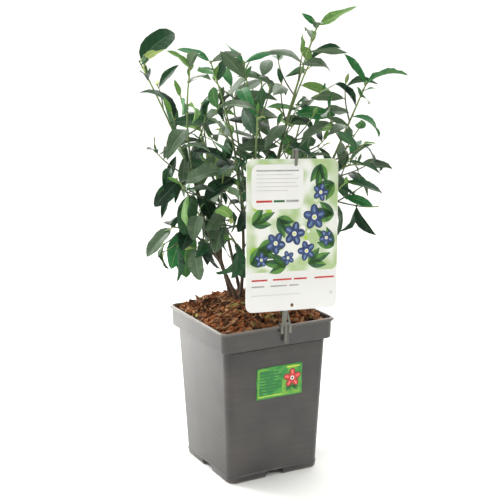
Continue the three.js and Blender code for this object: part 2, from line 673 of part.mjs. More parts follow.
/** The clip at the stake's foot: two splayed legs, tabs outside the band and a tongue down its face. */
function clipSolid() {
  const { x, half, thick } = CLIP;
  const lip = -POT.lipHalf;
  const outside = lip - GAP;
  const inside = POT.wall + GAP - bandTop;
  const bridgeZ = POT.height + GAP;
  const top = bridgeZ + thick;
  const drop = (x0, x1, y0, y1, depth) => boxSolid(vec(x + x0, y0, POT.height - depth), vec(x + x1, y1, top));
  const bridge = boxSolid(vec(x - half, outside - thick, bridgeZ), vec(x + half, inside + thick, top));
  const pieces = [
    drop(-half, -half + 3.4, outside - thick, outside, CLIP.tabDrop),
    drop(half - 3.4, half, outside - thick, outside, CLIP.tabDrop),
    drop(-1.3, 1.3, outside - thick, outside, CLIP.tongueDrop),
    drop(-5, 5, inside, inside + thick, CLIP.catchDrop),
  ];
  for (const end of [-1, 1]) {
    const foot = vec(x + end * (half - 1.7), outside - thick / 2, bridgeZ + thick / 2);
    const head = vec(STAKE.x + 1 + end, outside - thick / 2, CLIP.legTop);
    pieces.push(limbSolid(new Limb(foot, head, vec(0, 0, 0), 1.2, 1.2, false), 0, 1, 4, 1));
  }
  return pieces.reduce((joined, piece) => joined.add(piece), bridge);
}

/** The printed sticker on the front face, lying against the tapered wall. */
function stickerMesh() {
  const width = STICKER.right - STICKER.left;
  const slope = Math.atan((POT.shoulderHalf - POT.footHalf) / POT.shoulderZ);
  const height = (STICKER.high - STICKER.low) / Math.cos(slope);
  const plate = new THREE.BoxGeometry(width, STICKER.thick, height).translate(0, -STICKER.thick / 2 - GAP, height / 2);
  const made = mesh("pot_sticker", plate, COLOURS.sticker);
  made.rotation.x = slope;
  made.position.set((STICKER.left + STICKER.right) / 2, -bodyHalf(STICKER.low), STICKER.low);
  return made;
}

// ---------------------------------------------------------------- assembly

const plant = new THREE.Group();
const space = new Space();

const pot = potSolid();
const soil = soilSolid();
plant.add(mesh("pot", geometryFrom(pot), COLOURS.pot));
plant.add(mesh("bark_mulch", geometryFrom(soil), COLOURS.bark));
space.take("pot", pot);
space.take("bark_mulch", soil);

const card = cardMesh();
card.updateMatrixWorld();
space.take("label_card", solidFrom(card.geometry.clone().applyMatrix4(card.matrixWorld)));
plant.add(card);
plant.add(stickerMesh());

const stake = stemSolid().add(clipSolid());
plant.add(mesh("label_stake", geometryFrom(stake), COLOURS.clip));
space.take("label_stake", stake);

const limbs = layOutCanes();
for (const cane of CANES) {
  const solid = caneSolid(cane, limbs);
  plant.add(mesh("cane_" + cane.name, geometryFrom(solid), COLOURS.cane));
  space.take("cane_" + cane.name, solid);
}
const shoots = CANES.map((cane) => shootSolid(cane, limbs.get(cane.name)));
CANES.forEach((cane, i) => space.take("foliage_" + cane.name, shoots[i]));
growCrown(limbs).forEach((mass, i) => {
  const solid = foliageSolid(mass, shoots[i], space);
  plant.add(mesh("foliage_" + mass.cane.name, geometryFrom(solid), COLOURS.foliage));
});

export default plant;
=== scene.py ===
"""Looks of a young blueberry bush in a square nursery pot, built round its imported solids.

Shapes are worked out in millimetres in the part's own frame, +Z up and the label side of the pot facing -Y,
and are turned to metres when a mesh is made. The canes, twigs and leaves grow by the rule of the part's
source, with its named sizes. At the end the leaves open out, and young leaves and buds are added.
"""

import json
import logging
import math
from collections.abc import Iterable, Sequence
from dataclasses import dataclass, field, replace
from enum import Enum
from typing import Any

import bpy
import numpy as np
from bpy.types import ID, Material, Mesh, Node, NodeSocket, NodeTree, Object
from mathutils import Matrix, Vector
from numpy.random import Generator, default_rng

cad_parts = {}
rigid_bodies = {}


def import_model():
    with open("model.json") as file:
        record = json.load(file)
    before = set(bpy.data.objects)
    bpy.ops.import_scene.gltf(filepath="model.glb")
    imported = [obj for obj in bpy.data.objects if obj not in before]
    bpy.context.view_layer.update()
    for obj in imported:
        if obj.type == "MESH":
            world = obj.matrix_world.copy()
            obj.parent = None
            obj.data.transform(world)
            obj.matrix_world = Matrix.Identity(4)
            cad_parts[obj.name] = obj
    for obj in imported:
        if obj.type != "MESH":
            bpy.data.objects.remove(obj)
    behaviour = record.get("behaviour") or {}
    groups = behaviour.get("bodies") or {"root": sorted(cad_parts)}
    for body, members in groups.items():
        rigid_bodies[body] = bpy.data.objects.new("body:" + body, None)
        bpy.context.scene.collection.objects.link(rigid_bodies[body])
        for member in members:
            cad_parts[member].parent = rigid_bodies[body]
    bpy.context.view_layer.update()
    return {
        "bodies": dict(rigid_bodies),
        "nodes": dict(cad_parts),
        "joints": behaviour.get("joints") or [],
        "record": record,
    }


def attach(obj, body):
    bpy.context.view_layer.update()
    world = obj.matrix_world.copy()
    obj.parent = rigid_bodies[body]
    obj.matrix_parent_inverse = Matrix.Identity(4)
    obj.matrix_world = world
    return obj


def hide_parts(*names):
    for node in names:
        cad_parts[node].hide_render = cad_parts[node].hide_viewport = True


Array = np.ndarray
LOG = logging.getLogger("blueberry_bush")
MM = 0.001
BODY = "root"
UP = np.array([0.0, 0.0, 1.0])
GAP = 0.3  # clearance between neighbouring solids
MASK = 0xFFFFFFFF  # keeps a whole number to its lowest 32 bits
SHARE, FIRST, SECOND, MIXED = 0, 6, 7, 2  # the inputs and the output of a Mix node that mixes colours


# ---------------- colour, nodes and meshes


def linear(hex_colour: str) -> tuple[float, ...]:
    """An sRGB hex colour as linear red, green and blue with full alpha."""
    channels = [int(hex_colour[i : i + 2], 16) / 255 for i in (1, 3, 5)]
    return (*(c / 12.92 if c <= 0.04045 else ((c + 0.055) / 1.055) ** 2.4 for c in channels), 1.0)


def feed(tree: NodeTree, node: Node, inputs: dict[str | int, Any]) -> None:
    """Gives a node what goes into it.

    Args:
        tree: the node tree that holds it.
        node: the node.
        inputs: by an input's name or number, a value, an sRGB hex colour, a node's output, or a node for its
            first output.
    """
    for key, value in inputs.items():
        source = value.outputs[0] if isinstance(value, Node) else value
        if isinstance(source, NodeSocket):
            tree.links.new(source, node.inputs[key])
        else:
            node.inputs[key].default_value = linear(source) if isinstance(source, str) else source


def add_node(tree: NodeTree, kind: str, inputs: dict | None = None, **settings: Any) -> Any:
    """Adds one node with its settings and what goes into it.

    Args:
        tree: the node tree that gets the node.
        kind: Blender's name of the node, without ShaderNode in front.
        inputs: what goes into it, as feed takes it.
        settings: values of the node's own properties.

    Returns:
        The new node.
    """
    node = tree.nodes.new("ShaderNode" + kind)
    for name, value in settings.items():
        setattr(node, name, value)
    feed(tree, node, inputs or {})
    return node


def new_material(name: str, **sockets: Any) -> tuple[Material, NodeTree, Any]:
    """A material with one Principled BSDF.

    Args:
        name: the material's name.
        sockets: what goes into the shader, with _ for each space in a socket's name.

    Returns:
        The material, its node tree and the shader node.
    """
    material = bpy.data.materials.new(name)
    material.use_nodes = True
    tree = material.node_tree
    shader = tree.nodes["Principled BSDF"]
    feed(tree, shader, {socket.replace("_", " "): value for socket, value in sockets.items()})
    return material, tree, shader


def fineness(size: float) -> float:
    """The scale of a pattern whose marks are so many millimetres long."""
    return 1 / (size * MM)


@dataclass
class Surface:
    """Points in millimetres and the faces between them.

    faces holds arrays of equal-sided faces, uv an optional place on the finish's pattern for each point, and
    finish the number of the material of each face.
    """

    points: Array
    faces: list[Array]
    uv: Array | None = None
    finish: Array | None = None


def joined(surfaces: Iterable[Surface]) -> Surface:
    """Several surfaces as one.

    Args:
        surfaces: the surfaces, all or none of them with a map, and all or none with finish numbers.

    Returns:
        One surface in which each keeps its own faces, map and finish numbers.
    """
    parts = list(surfaces)
    offsets = np.cumsum([0] + [len(part.points) for part in parts])
    faces = [group + offset for part, offset in zip(parts, offsets) for group in part.faces]
    uv = None if parts[0].uv is None else np.concatenate([part.uv for part in parts])
    finish = None if parts[0].finish is None else np.concatenate([part.finish for part in parts])
    return Surface(np.concatenate([part.points for part in parts]), faces, uv, finish)


def build_mesh(name: str, surface: Surface) -> Mesh:
    """Makes a mesh of a surface.

    Args:
        name: the mesh's name.
        surface: its shape, in millimetres.

    Returns:
        The mesh, in metres.
    """
    mesh = bpy.data.meshes.new(name)
    faces = [face for group in surface.faces for face in group.tolist()]
    mesh.from_pydata((surface.points * MM).tolist(), [], faces)
    if surface.uv is not None:
        corners = np.empty(len(mesh.loops), np.int32)
        mesh.loops.foreach_get("vertex_index", corners)
        layer = mesh.uv_layers.new(name="pattern")
        layer.data.foreach_set("uv", surface.uv[corners].astype(np.float32).ravel())
    if surface.finish is not None:
        mesh.polygons.foreach_set("material_index", surface.finish.astype(np.int32))
    mesh.update()
    return mesh


def new_object(name: str, data: ID) -> Object:
    """A new object of the scene.

    Args:
        name: its name.
        data: its mesh, light or camera.

    Returns:
        The object.
    """
    thing = bpy.data.objects.new(name, data)
    bpy.context.scene.collection.objects.link(thing)
    return thing


def build_piece(
    name: str,
    surface: Surface | Mesh,
    materials: Sequence[Material],
    replaces: str | None = None,
    sharp: float = 180.0,
) -> None:
    """Builds a finished piece that rides on the part, with its place in its mesh.

    Args:
        name: the piece's name.
        surface: its shape.
        materials: its materials, in the order of the surface's finish numbers.
        replaces: the solid that it stands for.
        sharp: the angle in degrees above which an edge stays sharp.
    """
    mesh = build_mesh(name, surface) if isinstance(surface, Surface) else surface
    for material in materials:
        mesh.materials.append(material)
    mesh.shade_smooth()
    if sharp < 180:
        mesh.set_sharp_from_angle(angle=math.radians(sharp))
    piece = new_object(name, mesh)
    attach(piece, BODY)
    if replaces:
        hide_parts(replaces)
    LOG.info("%s: %d faces", name, len(mesh.polygons))


def grid_faces(rows: int, columns: int) -> Array:
    """Quads between neighbouring points of rings that are numbered one after the other.

    The faces look outwards where the rings climb and their points run anticlockwise.

    Args:
        rows: the number of rings.
        columns: the points of a ring, of which the last joins the first.

    Returns:
        The four corners of each quad.
    """
    row, column = np.indices((rows - 1, columns))
    low, high, beside = row * columns, (row + 1) * columns, (column + 1) % columns
    corners = [low + column, low + beside, high + beside, high + column]
    return np.stack(corners, axis=-1).reshape(-1, 4)


def loft_faces(rows: int, columns: int) -> list[Array]:
    """The quads between rings, and a flat face over each end."""
    ends = np.stack([np.arange(columns)[::-1], np.arange(columns) + (rows - 1) * columns])
    return [grid_faces(rows, columns), ends]


def closed_loft(rings: Array, uv: Array | None = None) -> Surface:
    """A skin over rings of points, with their places on the pattern, and a flat face over each end."""
    flat_map = None if uv is None else uv.reshape(-1, 2)
    return Surface(rings.reshape(-1, 3), loft_faces(*rings.shape[:2]), flat_map)


def copied_faces(groups: Iterable[Array], count: int, size: int) -> list[Array]:
    """The faces of many like shapes, whose points follow each other.

    Args:
        groups: the first one's faces, in groups of equal sides.
        count: the number of shapes.
        size: the points of each.

    Returns:
        The faces of all, in the same groups.
    """
    offset = (size * np.arange(count))[:, None, None]
    return [(group[None] + offset).reshape(-1, group.shape[1]) for group in groups]


def pattern_map(across: Array, along: Array) -> Array:
    """Places on a finish's pattern, from two arrays that broadcast together."""
    return np.stack(np.broadcast_arrays(across, along), axis=-1)


def with_modifiers(mesh: Mesh, add: Iterable[tuple[str, dict]]) -> Mesh:
    """Works modifiers into a mesh.

    Args:
        mesh: the mesh.
        add: the kind and the settings of each modifier.

    Returns:
        The new mesh.
    """
    carrier = new_object(mesh.name, mesh)
    for kind, settings in add:
        modifier = carrier.modifiers.new(kind.lower(), kind)
        for name, value in settings.items():
            setattr(modifier, name, value)
    bpy.context.view_layer.update()
    done = bpy.data.meshes.new_from_object(carrier.evaluated_get(bpy.context.evaluated_depsgraph_get()))
    bpy.data.objects.remove(carrier)
    return done


def soft_edges(width: float) -> tuple[str, dict]:
    """The modifier that rounds a moulded piece's edges over so many millimetres."""
    by_angle = {"limit_method": "ANGLE", "angle_limit": math.radians(30)}
    return "BEVEL", {"width": width * MM, "segments": 2, **by_angle}


def unit(vector: Array) -> Array:
    """A vector, or each row of an array of them, at length 1."""
    return vector / np.linalg.norm(vector, axis=-1, keepdims=True)


def turn_about(vector: Array, axis: Array, angle: float) -> Array:
    """A vector turned by an angle about an axis of length 1 (Rodrigues' formula)."""
    across, along = np.cross(axis, vector), axis * (axis @ vector)
    return vector * math.cos(angle) + across * math.sin(angle) + along * (1 - math.cos(angle))


def turn(axis: str, degrees: float) -> Array:
    """The matrix that turns about an axis, "X" or "Y"."""
    return np.array(Matrix.Rotation(math.radians(degrees), 3, axis))


def turns_round(axis: int, angles: Array) -> Array:
    """Turning matrices about one of the three axes.

    Args:
        axis: 0, 1 or 2 for X, Y or Z.
        angles: the angles in radians.

    Returns:
        A matrix for each angle.
    """
    first, second = (axis + 1) % 3, (axis + 2) % 3
    turns = np.zeros((len(angles), 3, 3))
    turns[:, axis, axis] = 1
    turns[:, first, first] = turns[:, second, second] = np.cos(angles)
    turns[:, second, first], turns[:, first, second] = np.sin(angles), -np.sin(angles)
    return turns


@dataclass(frozen=True)
class Placement:
    """A turned and moved frame of its own."""

    turn: Array
    origin: Array

    def put(self, points: Array) -> Array:
        """Points of this frame in the part's frame."""
        return points @ self.turn.T + self.origin

    def local(self, points: Array) -> Array:
        """Points of the part's frame in this frame."""
        return (points - self.origin) @ self.turn


def rounded_rectangle(width: float, height: float, corner: float, steps: int) -> Array:
    """A rectangle round the origin, with a quarter circle at each corner.

    Args:
        width: along the first axis.
        height: along the second.
        corner: the radius of the quarter circles.
        steps: the parts of each.

    Returns:
        The outline, anticlockwise.
    """
    angles = np.radians(90 * np.arange(4)[:, None] + np.linspace(0, 90, steps + 1)[None])
    half = np.array([width / 2 - corner, height / 2 - corner])
    centre = np.array([[1, 1], [-1, 1], [-1, -1], [1, -1]]) * half
    arcs = centre[:, None] + corner * np.stack([np.cos(angles), np.sin(angles)], axis=-1)
    return arcs.reshape(-1, 2)


def oval(half_long: float, half_wide: float, sides: int) -> Array:
    """An ellipse along its first axis, anticlockwise."""
    angle = 2 * np.pi * np.arange(sides) / sides
    return np.column_stack([half_long * np.cos(angle), half_wide * np.sin(angle)])


def turned(outline: Array, degrees: float) -> Array:
    """A flat outline turned anticlockwise about its origin."""
    c, s = math.cos(math.radians(degrees)), math.sin(math.radians(degrees))
    return outline @ np.array([[c, s], [-s, c]])


def evenly_spaced(outline: Array, step: float) -> Array:
    """A closed outline with more points on its long sides.

    Args:
        outline: its points.
        step: the farthest that one may be from the next.

    Returns:
        The points, old and new.
    """
    sides = []
    for start, end in zip(outline, np.roll(outline, -1, axis=0)):
        count = max(1, math.ceil(float(np.linalg.norm(end - start)) / step))
        sides.append(start + (end - start) * np.arange(count)[:, None] / count)
    return np.concatenate(sides)


def laid(outline: Array, z: float) -> Array:
    """A flat outline as level points at a height."""
    return np.column_stack([outline, np.full(len(outline), z)])


def stood(outline: Array, y: float) -> Array:
    """A flat outline as upright points, in X and Z, at a depth."""
    return np.column_stack([outline[:, 0], np.full(len(outline), y), outline[:, 1]])


def prism(outline: Array, back: float, front: float) -> Surface:
    """An upright outline drawn out from one depth to another."""
    return closed_loft(np.stack([stood(outline, y) for y in (back, front)]))


# ---------------- finishes


@dataclass(frozen=True)
class MouldedPlastic:
    """Injection moulded recycled polypropylene, as thin pots are made of.

    It is semi-matt with a waxy shine at a slant, cloudy where the melt flowed, finely grained, rubbed dull
    around it, and specked with grit. Its foot is scuffed lighter, and a lighter colour along its lip is a
    painted highlight.
    """

    name: str
    colour: str
    dusty: str
    roughness: float
    cloud: float = 35.0  # mm, size of the flow clouds
    rub: float = 7.0  # mm, length over which the rubbing varies
    rubbed: float = 0.22  # how much of the dusty colour the rubbing brings
    grain: float = 1.6  # mm, drawn coarser than the real 0.1 mm so that it shows
    relief: float = 0.07
    grit: float = 0.0  # how readily dark specks show
    speck: float = 1.5  # mm, size of the specks
    bulge: float = 0.0  # mm, how far a wall bows out between its corners
    reach: float = 62.0  # mm, from the axis to a wall
    height: float = 0.0  # mm, of a thing that is scuffed along its foot and has a painted highlight along its lip
    scuff_and_highlight: float = 3.0  # mm, how far the scuffs at the foot and the painted highlight at the lip reach

    GRIT = "#2b2724"
    # lighter colour of the scuffed foot and of the painted highlight on the lip
    SCUFF_AND_HIGHLIGHT = "#8f887e"
    STREAK = (0.15, 0.15, 1.6)  # the rubbing runs round a thing and not up it

    def material(self) -> Material:
        """The finish as a material."""
        material, tree, shader = new_material(self.name, IOR=1.5)
        place = add_node(tree, "TexCoord").outputs["Object"]
        cloud = add_node(tree, "TexNoise", {"Vector": place, "Scale": fineness(self.cloud), "Detail": 1.0})
        streak = add_node(tree, "Mapping", {"Vector": place, "Scale": self.STREAK})
        rub = add_node(tree, "TexNoise", {"Vector": streak, "Scale": fineness(self.rub), "Detail": 2.5})
        worn = add_node(tree, "MapRange", {"Value": rub, "From Min": 0.5, "From Max": 0.8})
        patch = add_node(
            tree,
            "MapRange",
            {"Value": cloud, "From Min": 0.2, "From Max": 0.8, "To Min": 0.14, "To Max": 0.66},
        )
        both = add_node(tree, "Math", {0: worn, 1: self.rubbed, 2: patch}, operation="MULTIPLY_ADD")
        mix = add_node(tree, "Mix", {SHARE: both, FIRST: self.colour, SECOND: self.dusty}, data_type="RGBA")
        grit = add_node(tree, "TexNoise", {"Vector": place, "Scale": fineness(self.speck), "Detail": 1.0})
        shown = 1 - self.grit
        speck = add_node(tree, "MapRange", {"Value": grit, "From Min": shown, "From Max": shown + 0.06})
        specked = add_node(
            tree, "Mix", {SHARE: speck, FIRST: mix.outputs[MIXED], SECOND: self.GRIT}, data_type="RGBA"
        )
        if self.height:
            # Its foot is scuffed and its lip gets a painted highlight, both in a lighter colour:
            # they lie farthest from the middle of its height.
            level = add_node(tree, "SeparateXYZ", {0: place})
            half = self.height / 2 * MM
            off = add_node(tree, "Math", {0: level.outputs["Z"], 1: half}, operation="SUBTRACT")
            far = add_node(tree, "Math", {0: off}, operation="ABSOLUTE")
            scuff_and_highlight = add_node(
                tree,
                "MapRange",
                {"Value": far, "From Min": half - self.scuff_and_highlight * MM, "From Max": half, "To Max": 0.7},
            )
            specked = add_node(
                tree,
                "Mix",
                {SHARE: scuff_and_highlight, FIRST: specked.outputs[MIXED], SECOND: self.SCUFF_AND_HIGHLIGHT},
                data_type="RGBA",
            )
        dull = add_node(
            tree,
            "MapRange",
            {"Value": both, "To Min": self.roughness - 0.02, "To Max": self.roughness + 0.06},
        )
        # The bow falls away with the square of the distance from the axis, so each wall is crowned.
        level = add_node(tree, "VectorMath", {0: place, 1: (1.0, 1.0, 0.0)}, operation="MULTIPLY")
        square = add_node(tree, "VectorMath", {0: level, 1: level}, operation="DOT_PRODUCT")
        fall = -self.bulge / (self.reach**2 * MM)
        bow = add_node(tree, "Math", {0: square.outputs["Value"], 1: fall}, operation="MULTIPLY")
        bowed = add_node(tree, "Bump", {"Height": bow, "Strength": 1.0, "Distance": 1.0})
        fine = add_node(tree, "TexNoise", {"Vector": place, "Scale": fineness(self.grain), "Detail": 2.0})
        bump = add_node(
            tree, "Bump", {"Height": fine, "Strength": self.relief, "Distance": 0.3 * MM, "Normal": bowed}
        )
        feed(tree, shader, {"Base Color": specked.outputs[MIXED], "Roughness": dull, "Normal": bump})
        return material


@dataclass(frozen=True)
class BarkChip:
    """Shredded pine bark: fibrous and dry, its colour uneven along the grain, with no shine."""

    name: str
    colour: str
    dark: str
    fibre: float = 1.4  # mm, width of the fibres

    def material(self) -> Material:
        """The finish as a material."""
        material, tree, shader = new_material(self.name, Roughness=0.92, Specular_IOR_Level=0.25)
        place = add_node(tree, "TexCoord").outputs["Object"]
        patch = add_node(
            tree, "TexNoise", {"Vector": place, "Scale": fineness(4 * self.fibre), "Detail": 5.0}
        )
        steep = add_node(tree, "MapRange", {"Value": patch, "From Min": 0.35, "From Max": 0.65})
        mix = add_node(tree, "Mix", {SHARE: steep, FIRST: self.dark, SECOND: self.colour}, data_type="RGBA")
        fibres = add_node(tree, "TexNoise", {"Vector": place, "Scale": fineness(self.fibre), "Detail": 4.0})
        bump = add_node(tree, "Bump", {"Height": fibres, "Strength": 0.6, "Distance": 0.8 * MM})
        feed(tree, shader, {"Base Color": mix.outputs[MIXED], "Normal": bump})
        return material


@dataclass(frozen=True)
class CaneBark:
    """Young bark: brown and cracked lengthwise at the foot, smooth and green where the wood is this year's.

    The pattern's second coordinate runs from 0 at the foot of a cane to 1 at its tip.
    """

    name: str
    old: str
    young: str
    turns_at: tuple[float, float]  # shares of the cane between which brown gives way to green

    def material(self) -> Material:
        """The finish as a material."""
        material, tree, shader = new_material(self.name, Roughness=0.62, Specular_IOR_Level=0.4)
        source = add_node(tree, "TexCoord")
        pattern = add_node(tree, "SeparateXYZ", {0: source.outputs["UV"]})
        place = source.outputs["Object"]
        patch = add_node(tree, "TexNoise", {"Vector": place, "Scale": fineness(9), "Detail": 4.0})
        shifted = add_node(
            tree, "Math", {0: patch, 1: 0.25, 2: pattern.outputs["Y"]}, operation="MULTIPLY_ADD"
        )
        low, high = self.turns_at
        age = add_node(tree, "MapRange", {"Value": shifted, "From Min": low + 0.12, "From Max": high + 0.12})
        mix = add_node(tree, "Mix", {SHARE: age, FIRST: self.old, SECOND: self.young}, data_type="RGBA")
        long = add_node(tree, "Mapping", {"Vector": place, "Scale": (1.0, 1.0, 0.2)})
        cracks = add_node(tree, "TexNoise", {"Vector": long, "Scale": fineness(1.1), "Detail": 5.0})
        bump = add_node(tree, "Bump", {"Height": cracks, "Strength": 0.45, "Distance": 0.5 * MM})
        feed(tree, shader, {"Base Color": mix.outputs[MIXED], "Normal": bump})
        return material


@dataclass(frozen=True)
class LeafSkin:
    """One side of a leathery leaf: waxy and satin above, dull below, quilted between its side veins.

    The pattern's first coordinate runs across the blade, with the midrib at 0.5, the second along it.
    """

    name: str
    colour: str
    vein: str
    roughness: float
    quilting: float  # strength of the relief between the veins
    gloss: float  # share of a smooth wax's reflection that is left
    veins: float = 7.0  # pairs of side veins
    sweep: float = 1.8  # spaces between veins that one would run forward over the blade's whole width

    def material(self) -> Material:
        """The finish as a material."""
        material, tree, shader = new_material(
            self.name, Roughness=self.roughness, IOR=1.4, Specular_IOR_Level=self.gloss
        )
        source = add_node(tree, "TexCoord")
        pattern = add_node(tree, "SeparateXYZ", {0: source.outputs["UV"]})
        aside = add_node(tree, "Math", {0: pattern.outputs["X"], 1: 0.5}, operation="SUBTRACT")
        across = add_node(tree, "Math", {0: aside}, operation="ABSOLUTE")
        # Side veins run forward from the midrib, so their phase falls behind towards the edge.
        lag = add_node(tree, "Math", {0: across, 1: -self.sweep}, operation="MULTIPLY")
        phase = add_node(
            tree, "Math", {0: pattern.outputs["Y"], 1: self.veins, 2: lag}, operation="MULTIPLY_ADD"
        )
        turns = add_node(tree, "Math", {0: phase, 1: 2 * math.pi}, operation="MULTIPLY")
        wave = add_node(tree, "Math", {0: turns}, operation="SINE")
        sunk = add_node(
            tree,
            "MapRange",
            {"Value": wave, "From Min": -1.0, "From Max": -0.2, "To Min": 1.0, "To Max": 0.0},
            interpolation_type="SMOOTHSTEP",
        )
        mottle = add_node(
            tree, "TexNoise", {"Vector": source.outputs["Object"], "Scale": fineness(9), "Detail": 3.0}
        )
        uneven = add_node(tree, "Math", {0: mottle, 1: 0.5}, operation="MULTIPLY")
        marked = add_node(tree, "Math", {0: sunk, 1: 0.22, 2: uneven}, operation="MULTIPLY_ADD")
        height = add_node(tree, "Math", {0: sunk, 1: -1.0, 2: mottle}, operation="MULTIPLY_ADD")
        bump = add_node(tree, "Bump", {"Height": height, "Strength": self.quilting, "Distance": 0.4 * MM})
        mix = add_node(tree, "Mix", {SHARE: marked, FIRST: self.colour, SECOND: self.vein}, data_type="RGBA")
        feed(tree, shader, {"Base Color": mix.outputs[MIXED], "Normal": bump})
        return material


@dataclass(frozen=True)
class LeafColours:
    """One kind of leaf: its colours, and its shares of leaves low on a shoot and low in the bush as painted
    shade, high and young.
    """

    name: str
    upper: str
    vein: str
    rib: str
    under: str
    shares: tuple[float, float, float]
    roughness: float = 0.42
    gloss: float = 0.35

    def skins(self) -> tuple[LeafSkin, LeafSkin, LeafSkin]:
        """The finish of the upper side, of the midrib and of the underside."""
        return (
            LeafSkin(self.name, self.upper, self.vein, self.roughness, 0.35, self.gloss),
            LeafSkin(self.name + "_midrib", self.rib, self.vein, 0.5, 0.0, 0.3),
            LeafSkin(self.name + "_underside", self.under, self.vein, 0.75, 0.2, 0.15),
        )


@dataclass(frozen=True)
class PrintedFilm:
    """Ink on white plastic film: even colour under a thin clear lacquer that gives it a soft shine."""

    name: str
    colour: str
    second: str
    patch: float = 30.0  # mm, size of the soft patches in which the second colour shows
    roughness: float = 0.34

    def material(self) -> Material:
        """The finish as a material."""
        material, tree, shader = new_material(self.name, Roughness=self.roughness, IOR=1.5)
        place = add_node(tree, "TexCoord").outputs["Object"]
        soft = add_node(tree, "TexNoise", {"Vector": place, "Scale": fineness(self.patch), "Detail": 1.0})
        share = add_node(tree, "MapRange", {"Value": soft, "From Min": 0.4, "From Max": 0.6})
        mix = add_node(
            tree, "Mix", {SHARE: share, FIRST: self.colour, SECOND: self.second}, data_type="RGBA"
        )
        feed(tree, shader, {"Base Color": mix.outputs[MIXED]})
        return material


class LeafTone(Enum):
    """The kinds of leaf on the bush, oldest to youngest; dark ones dealt low in the bush are painted shade.
    """

    DARK = LeafColours("leaf_dark", "#081f10", "#1b3e26", "#3f6040", "#36523a", (58, 9, 0), 0.4, 0.3)
    DEEP = LeafColours("leaf_deep", "#153f22", "#2b5735", "#537450", "#486749", (31, 20, 4), 0.38, 0.4)
    DULL = LeafColours("leaf_dull", "#435941", "#586e50", "#77896a", "#62785d", (13, 44, 6), 0.42, 0.5)
    FRESH = LeafColours("leaf_fresh", "#1f6834", "#3b7c45", "#76a062", "#5c8254", (11, 16, 26))
    LIME = LeafColours("leaf_lime", "#4f7d36", "#6c9648", "#a2b872", "#779a5a", (1, 12, 40))
    PALE = LeafColours("leaf_pale", "#8fa852", "#a9bb6c", "#c8d296", "#9ab17c", (0, 0, 24))


class ChipTone(Enum):
    """The colours of the bark: name, outer and inner colour, and how many of a hundred pieces have them."""

    BROWN = ("bark_brown", "#8f5d3a", "#5f3e28", 34)
    DARK = ("bark_dark", "#5f402b", "#35231a", 22)
    RUSSET = ("bark_russet", "#ad6a3e", "#7a4829", 24)
    TAN = ("bark_tan", "#bb8e65", "#8b6344", 12)
    STRAW = ("bark_straw", "#e0bf94", "#b38c60", 5)
    MOSSY = ("bark_mossy", "#a49a56", "#5d5a30", 3)


POT_PLASTIC = MouldedPlastic(
    "pot_recycled_polypropylene", "#303032", "#504b46", 0.3, grit=0.32, bulge=2.2, height=190.0
)
STAKE_PLASTIC = MouldedPlastic("stake_polypropylene", "#5a5a52", "#8b8c82", 0.4, cloud=15.0, relief=0.06)
OLD_BARK = CaneBark("cane_bark", "#4c3a2b", "#525a3c", (0.08, 0.4))
GREEN_BARK = CaneBark("shoot_bark", "#47553c", "#86a05a", (0.5, 1.05))
BUD_SCALE = CaneBark("bud_scales", "#7a5a3c", "#8d9a55", (0.0, 1.0))
SOIL = BarkChip("mulch_bed", "#4d3220", "#2a1b12")


# ---------------- growth rule


class RandomStream:
    """A repeatable stream of numbers from 0 to 1, mixed in 32-bit whole numbers."""

    STEP = 0x6D2B79F5  # odd, so that the state passes every 32-bit number

    def __init__(self, seed: int) -> None:
        """Starts the stream at a whole number that settles all of it."""
        self.state = seed & MASK

    def __call__(self) -> float:
        """The next number."""
        self.state = (self.state + self.STEP) & MASK
        mixed = ((self.state ^ (self.state >> 15)) * (self.state | 1)) & MASK
        mixed ^= (mixed + (((mixed ^ (mixed >> 7)) * (mixed | 61)) & MASK)) & MASK
        return ((mixed ^ (mixed >> 14)) & MASK) / (MASK + 1)


def lerp(start: float, end: float, share: float | Array) -> float | Array:
    """The number at a share of the way from start to end."""
    return start + (end - start) * share


def come_from(start: float, end: float, number: float | Array) -> float | Array:
    """The share of the way from start to end that a number has come, kept from 0 to 1."""
    return np.clip((number - start) / (end - start), 0, 1)


@dataclass(frozen=True)
class CaneRow:
    """One cane, in the words of the part's source.

    lean is its tip's compass angle in degrees, reach and height its distance out and above the mulch. belly,
    sway and arch bow it outwards, sideways and up. girth is the radius at its foot, bare the share that is
    bare cane, twigs the number of side twigs, spin turns its leaves about it and hang pulls them down. crown
    has the leaves at its tip: compass angle, rise, length, bend and roll. A cane with parent forks off that
    cane at the share at. leaf is the usual length of its leaves and slim their width as a share of it.
    """

    name: str
    lean: float
    reach: float
    height: float
    belly: float
    sway: float
    arch: float
    girth: float
    bare: float
    twigs: int
    spin: float
    hang: float
    crown: tuple[tuple[float, float, float, float, float], ...]
    parent: str | None = None
    at: float = 0.0
    leaf: float = 53.0
    slim: float = 0.38


